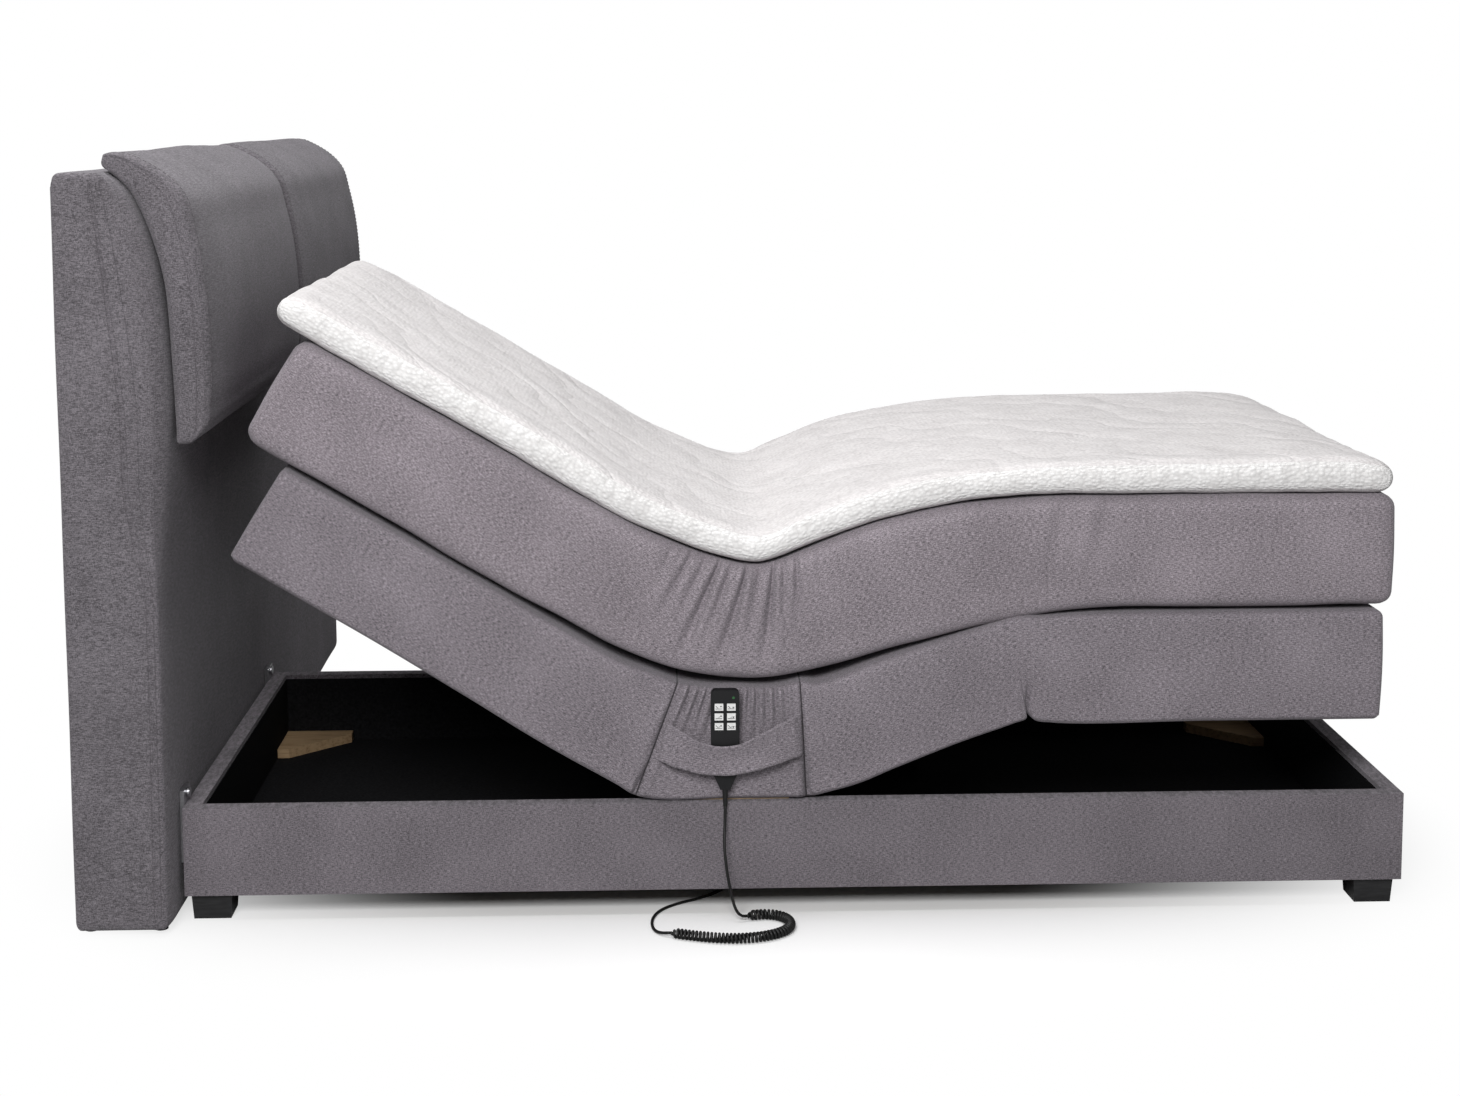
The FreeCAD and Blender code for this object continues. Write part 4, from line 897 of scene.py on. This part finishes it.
HX, HZ0, HYF = 0.880 + SX, 0.243, SY - HALF - 0.001 - 0.017
icons = {
    "back_up": (-10.0, 108.5, "up", 0), "back_down": (10.0, 108.5, "down", 0), "leg_up": (-10.0, 92.5, "up", 1), "leg_down": (10.0, 92.5, "down", 1),
    "all_up": (-10.0, 76.5, "up", 2), "flat": (10.0, 76.5, "down", 2)}
for nm, (bx, bz, way, kind) in icons.items():
    cx, cz = HX + bx / 1000, HZ0 + bz / 1000
    s = 1 if way == "up" else -1
    yf = HYF - 0.00135
    prism("icon_%s_arrow" % nm, [(0.0015, 0.0005), (0.0051, 0.0005), (0.0033, 0.0005 + 0.0026 * s)][:: s], yf, 0.0006, M_ICON, "button_" + nm, cx, cz)
    if kind in (0, 2):
        prism("icon_%s_head" % nm, [(-0.0055, 0.0018), (-0.0049, 0.0024), (-0.0012, -0.0012), (-0.0018, -0.0018)], yf, 0.0006, M_ICON, "button_" + nm, cx, cz)
    if kind in (1, 2):
        prism("icon_%s_knee" % nm, [(-0.0018, -0.0018), (-0.0012, -0.0012), (0.0009, 0.0006), (0.0014, -0.0001)], yf, 0.0006, M_ICON, "button_" + nm, cx, cz)
    prism("icon_%s_bar" % nm, [(-0.0056, -0.0030), (0.0052, -0.0030), (0.0052, -0.0023), (-0.0056, -0.0023)], yf, 0.0006, M_ICON, "button_" + nm, cx, cz)

led = prism("handset_led", [(0.0022 * math.cos(a), 0.0022 * math.sin(a)) for a in np.linspace(0, 2 * math.pi, 17)[:-1]], HYF - 0.0005, 0.001, M_LED, "root",
            HX + 0.0135, HZ0 + 0.124)

# ------------------------------------------------------------------ cord
SRY = -HALF * 1000 - 1.0 - 17.0 + 8.5
DROP = [(880, SRY, 185), (879.7, SRY - 1.5, 170), (879, SRY - 5.5, 152), (877.5, -474, 126), (880, -482, 96), (884, -484, 68),
        (889, -486, 44), (892.5, -489.5, 29.5), (897.5, -492, 17.5), (905, -491.5, 10.2), (914, -487, 8.6)]
COIL = [(914, -487, 8.6), (929, -480, 8.6), (954, -479, 8.6), (975, -493, 8.6), (984, -517, 8.6), (980, -543, 8.6), (963, -565, 8.6),
        (936, -579, 8.6), (903, -586, 8.6), (865, -583, 8.6), (826, -571, 8.6), (790, -556, 8.6)]
TAIL = [(790, -556, 8.6), (776, -549, 5.5), (766, -536, 3.2), (760, -514, 2.7), (759, -484, 2.7), (766, -452, 2.7), (782, -425, 2.7),
        (808, -402, 2.7), (838, -384, 2.7), (868, -356, 2.7), (888, -322, 2.7), (899, -290, 3.2), (904, -265, 9), (905.3, -252, 22), (905, -250, 40)]
route = [(x / 1000 + SX, y / 1000 + SY, z / 1000) for x, y, z in DROP + COIL[1:] + TAIL[1:]]


def nurbs_points(pts, name):
    cu = bpy.data.curves.new(name, "CURVE")
    cu.dimensions = "3D"
    sp = cu.splines.new("NURBS")
    sp.points.add(len(pts) - 1)
    for q, co in zip(sp.points, pts):
        q.co = (*co, 1)
    sp.order_u = 3
    sp.use_endpoint_u = True
    cu.resolution_u = 24
    ob = bpy.data.objects.new(name, cu)
    bpy.context.scene.collection.objects.link(ob)
    bpy.context.view_layer.update()
    me = bpy.data.meshes.new_from_object(ob.evaluated_get(bpy.context.evaluated_depsgraph_get()))
    out = np.array([v.co for v in me.vertices])
    bpy.data.objects.remove(ob)
    bpy.data.meshes.remove(me)
    return out


def frames_along(path):
    t = np.gradient(path, axis=0)
    t /= np.linalg.norm(t, axis=1)[:, None]
    a = np.zeros_like(path)
    v = np.array([1.0, 0, 0]) if abs(t[0][0]) < 0.9 else np.array([0, 1.0, 0])
    v = v - t[0] * (v @ t[0]); v /= np.linalg.norm(v)
    a[0] = v
    for i in range(1, len(path)):
        v = a[i - 1] - t[i] * (a[i - 1] @ t[i])
        a[i] = v / np.linalg.norm(v)
    return t, a, np.cross(t, a)


def resample(path, s_new):
    s = np.concatenate([[0], np.cumsum(np.linalg.norm(np.diff(path, axis=0), axis=1))])
    return np.stack([np.interp(s_new, s, path[:, i]) for i in range(3)], -1), s


def tube_mesh(name, path, radius, mat, sides=10):
    t, a, b = frames_along(path)
    ang = np.linspace(0, 2 * math.pi, sides + 1)[:-1]
    ring = path[:, None, :] + radius * (a[:, None, :] * np.cos(ang)[None, :, None] + b[:, None, :] * np.sin(ang)[None, :, None])
    pts = ring.reshape(-1, 3)
    n = len(path)
    quads = [(i * sides + j, i * sides + (j + 1) % sides, (i + 1) * sides + (j + 1) % sides, (i + 1) * sides + j) for i in range(n - 1) for j in range(sides)]
    me = bpy.data.meshes.new(name)
    me.from_pydata(pts.tolist(), [], quads + [tuple(range(sides))[::-1], tuple(range((n - 1) * sides, n * sides))])
    me.polygons.foreach_set("use_smooth", np.ones(len(me.polygons), bool))
    me.materials.append(mat)
    me.update()
    ob = bpy.data.objects.new(name, me)
    bpy.context.scene.collection.objects.link(ob)
    return ob


line = nurbs_points(route, "cord_route")
s_all = np.concatenate([[0], np.cumsum(np.linalg.norm(np.diff(line, axis=0), axis=1))])


def s_near(pt):
    d = np.linalg.norm(line - np.array(pt), axis=1)
    return s_all[int(np.argmin(d))]


s0 = s_near((COIL[0][0] / 1000 + SX, COIL[0][1] / 1000 + SY, COIL[0][2] / 1000))
s1 = s_near((COIL[-1][0] / 1000 + SX, COIL[-1][1] / 1000 + SY, COIL[-1][2] / 1000))
turns, hr, cr = 52, 0.0061, 0.0024
fine_s = np.concatenate([np.arange(0, s0 - 0.002, 0.004), np.linspace(s0, s1, turns * 20), np.arange(s1 + 0.004, s_all[-1] - 0.002, 0.004), [s_all[-1]]])
centre, _ = resample(line, fine_s)
t_, a_, b_ = frames_along(centre)
ph = np.clip((fine_s - s0) / (s1 - s0), 0, 1) * turns * 2 * math.pi
amp = hr * np.clip((fine_s - s0) / 0.010, 0, 1) * np.clip((s1 - fine_s) / 0.010, 0, 1)
amp = np.clip(amp, 0, hr)
path = centre + amp[:, None] * (a_ * np.cos(ph)[:, None] + b_ * np.sin(ph)[:, None])
path[:, 2] = np.maximum(path[:, 2], cr + 0.0001)
cord = tube_mesh("handset_cord", path, cr, M_RUBBER)
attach(cord, "root")
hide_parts("cord_to_curl", "cord_curl", "cord_tail")

# ------------------------------------------------------------------ bodies
for ob in (headb[0],):
    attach(ob, "root"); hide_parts("headboard_cover", "headboard_panel")
for ob, nd in ((cn, "headboard_cushion_near"), (cf, "headboard_cushion_far")):
    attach(ob, "root"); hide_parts(nd)
for obs, head, nodes, slot, fill in ((mattress, "mattress_head", ("mattress_back", "mattress_seat", "mattress_thigh", "mattress_calf"), "upholstery", 0.9),
                                     (topper, "topper_head", ("topper_back", "topper_seat", "topper_thigh", "topper_calf"), "topper_knit", 0.7)):
    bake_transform(obs[0])
    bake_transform(obs[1])
    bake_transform(obs[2])
    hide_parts(nodes[0], nodes[1]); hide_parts(nodes[2]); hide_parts(nodes[3])
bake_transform(boxc[0])
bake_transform(boxc[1])
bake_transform(boxc[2])
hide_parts("back_box_cover", "seat_box_cover"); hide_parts("thigh_box_cover"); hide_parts("calf_box_cover")

# ------------------------------------------------------------------ floor and light
me = bpy.data.meshes.new("floor")
me.from_pydata([(-14, -9, 0), (14, -9, 0), (14, 22, 0), (-14, 22, 0)], [], [(0, 1, 2, 3)])
floor = bpy.data.objects.new("floor", me)
bpy.context.scene.collection.objects.link(floor)
k = Mat("floor_pale")
nz = k.noise(k.coords(False), 2.0, (1, 1, 1), 3.0)
white = k.ramp(nz, [(0.3, (0.93, 0.93, 0.93)), (0.7, (0.95, 0.95, 0.95))])
# the floor looks white but bounces only part of the light back up
seen = k.n("ShaderNodeLightPath")
bounce = k.n("ShaderNodeMapRange")
bounce.inputs["To Min"].default_value, bounce.inputs["To Max"].default_value = 0.45, 1.0
k.l(seen.outputs["Is Camera Ray"], bounce.inputs["Value"])
vm = k.n("ShaderNodeVectorMath", operation="SCALE")
k.l(white, vm.inputs[0])
k.l(bounce.outputs["Result"], vm.inputs["Scale"])
k.l(vm.outputs["Vector"], k.bsdf.inputs["Base Color"])
k.set(Roughness=0.75, Specular_IOR_Level=0.05)
# the floor runs into the white backdrop
mpf = k.n("ShaderNodeMapping")
mpf.inputs["Location"].default_value = (0.0, 0.45 / 1.25, 0.0)
mpf.inputs["Scale"].default_value = (1 / 1.7, 1 / 1.25, 1.0)
k.l(k.coords(False), mpf.inputs["Vector"])
ln = k.n("ShaderNodeVectorMath", operation="LENGTH")
k.l(mpf.outputs["Vector"], ln.inputs[0])
far = k.n("ShaderNodeMapRange", interpolation_type="SMOOTHSTEP")
far.inputs["From Min"].default_value, far.inputs["From Max"].default_value = 0.38, 0.80
k.l(ln.outputs["Value"], far.inputs["Value"])
em = k.n("ShaderNodeEmission", Strength=1.0)
mx = k.n("ShaderNodeMixShader")
k.l(k.math("MULTIPLY", far.outputs["Result"], seen.outputs["Is Camera Ray"]), mx.inputs[0])
k.l(k.bsdf.outputs[0], mx.inputs[1])
k.l(em.outputs[0], mx.inputs[2])
k.l(mx.outputs[0], k.t.nodes["Material Output"].inputs["Surface"])
me.materials.append(k.m)

world = bpy.data.worlds.new("World")
bpy.context.scene.world = world
world.use_nodes = True
wt = world.node_tree
bg = wt.nodes["Background"]
bg.inputs[0].default_value = (1.0, 1.0, 1.0, 1)
wl = wt.nodes.new("ShaderNodeLightPath")
wm = wt.nodes.new("ShaderNodeMapRange")
wm.inputs["To Min"].default_value, wm.inputs["To Max"].default_value = 0.20, 1.0
wt.links.new(wl.outputs["Is Camera Ray"], wm.inputs["Value"])
wt.links.new(wm.outputs[0], bg.inputs[1])


def area(name, loc, target, size, power, col=(1, 1, 1)):
    ld = bpy.data.lights.new(name, "AREA")
    ld.shape, ld.size, ld.size_y, ld.energy, ld.color = "RECTANGLE", size[0], size[1], power, col
    ob = bpy.data.objects.new(name, ld)
    bpy.context.scene.collection.objects.link(ob)
    ob.location = loc
    ob.rotation_euler = (Vector(target) - Vector(loc)).to_track_quat("-Z", "Y").to_euler()
    return ob


area("key", (-0.85, -5.3, 3.3), (-0.05, -0.45, 0.6), (2.4, 1.8), 248)
area("top", (-0.90, -0.5, 4.4), (0.25, -0.45, 0.4), (2.0, 2.2), 104)
bpy.context.scene.view_settings.view_transform = "Standard"
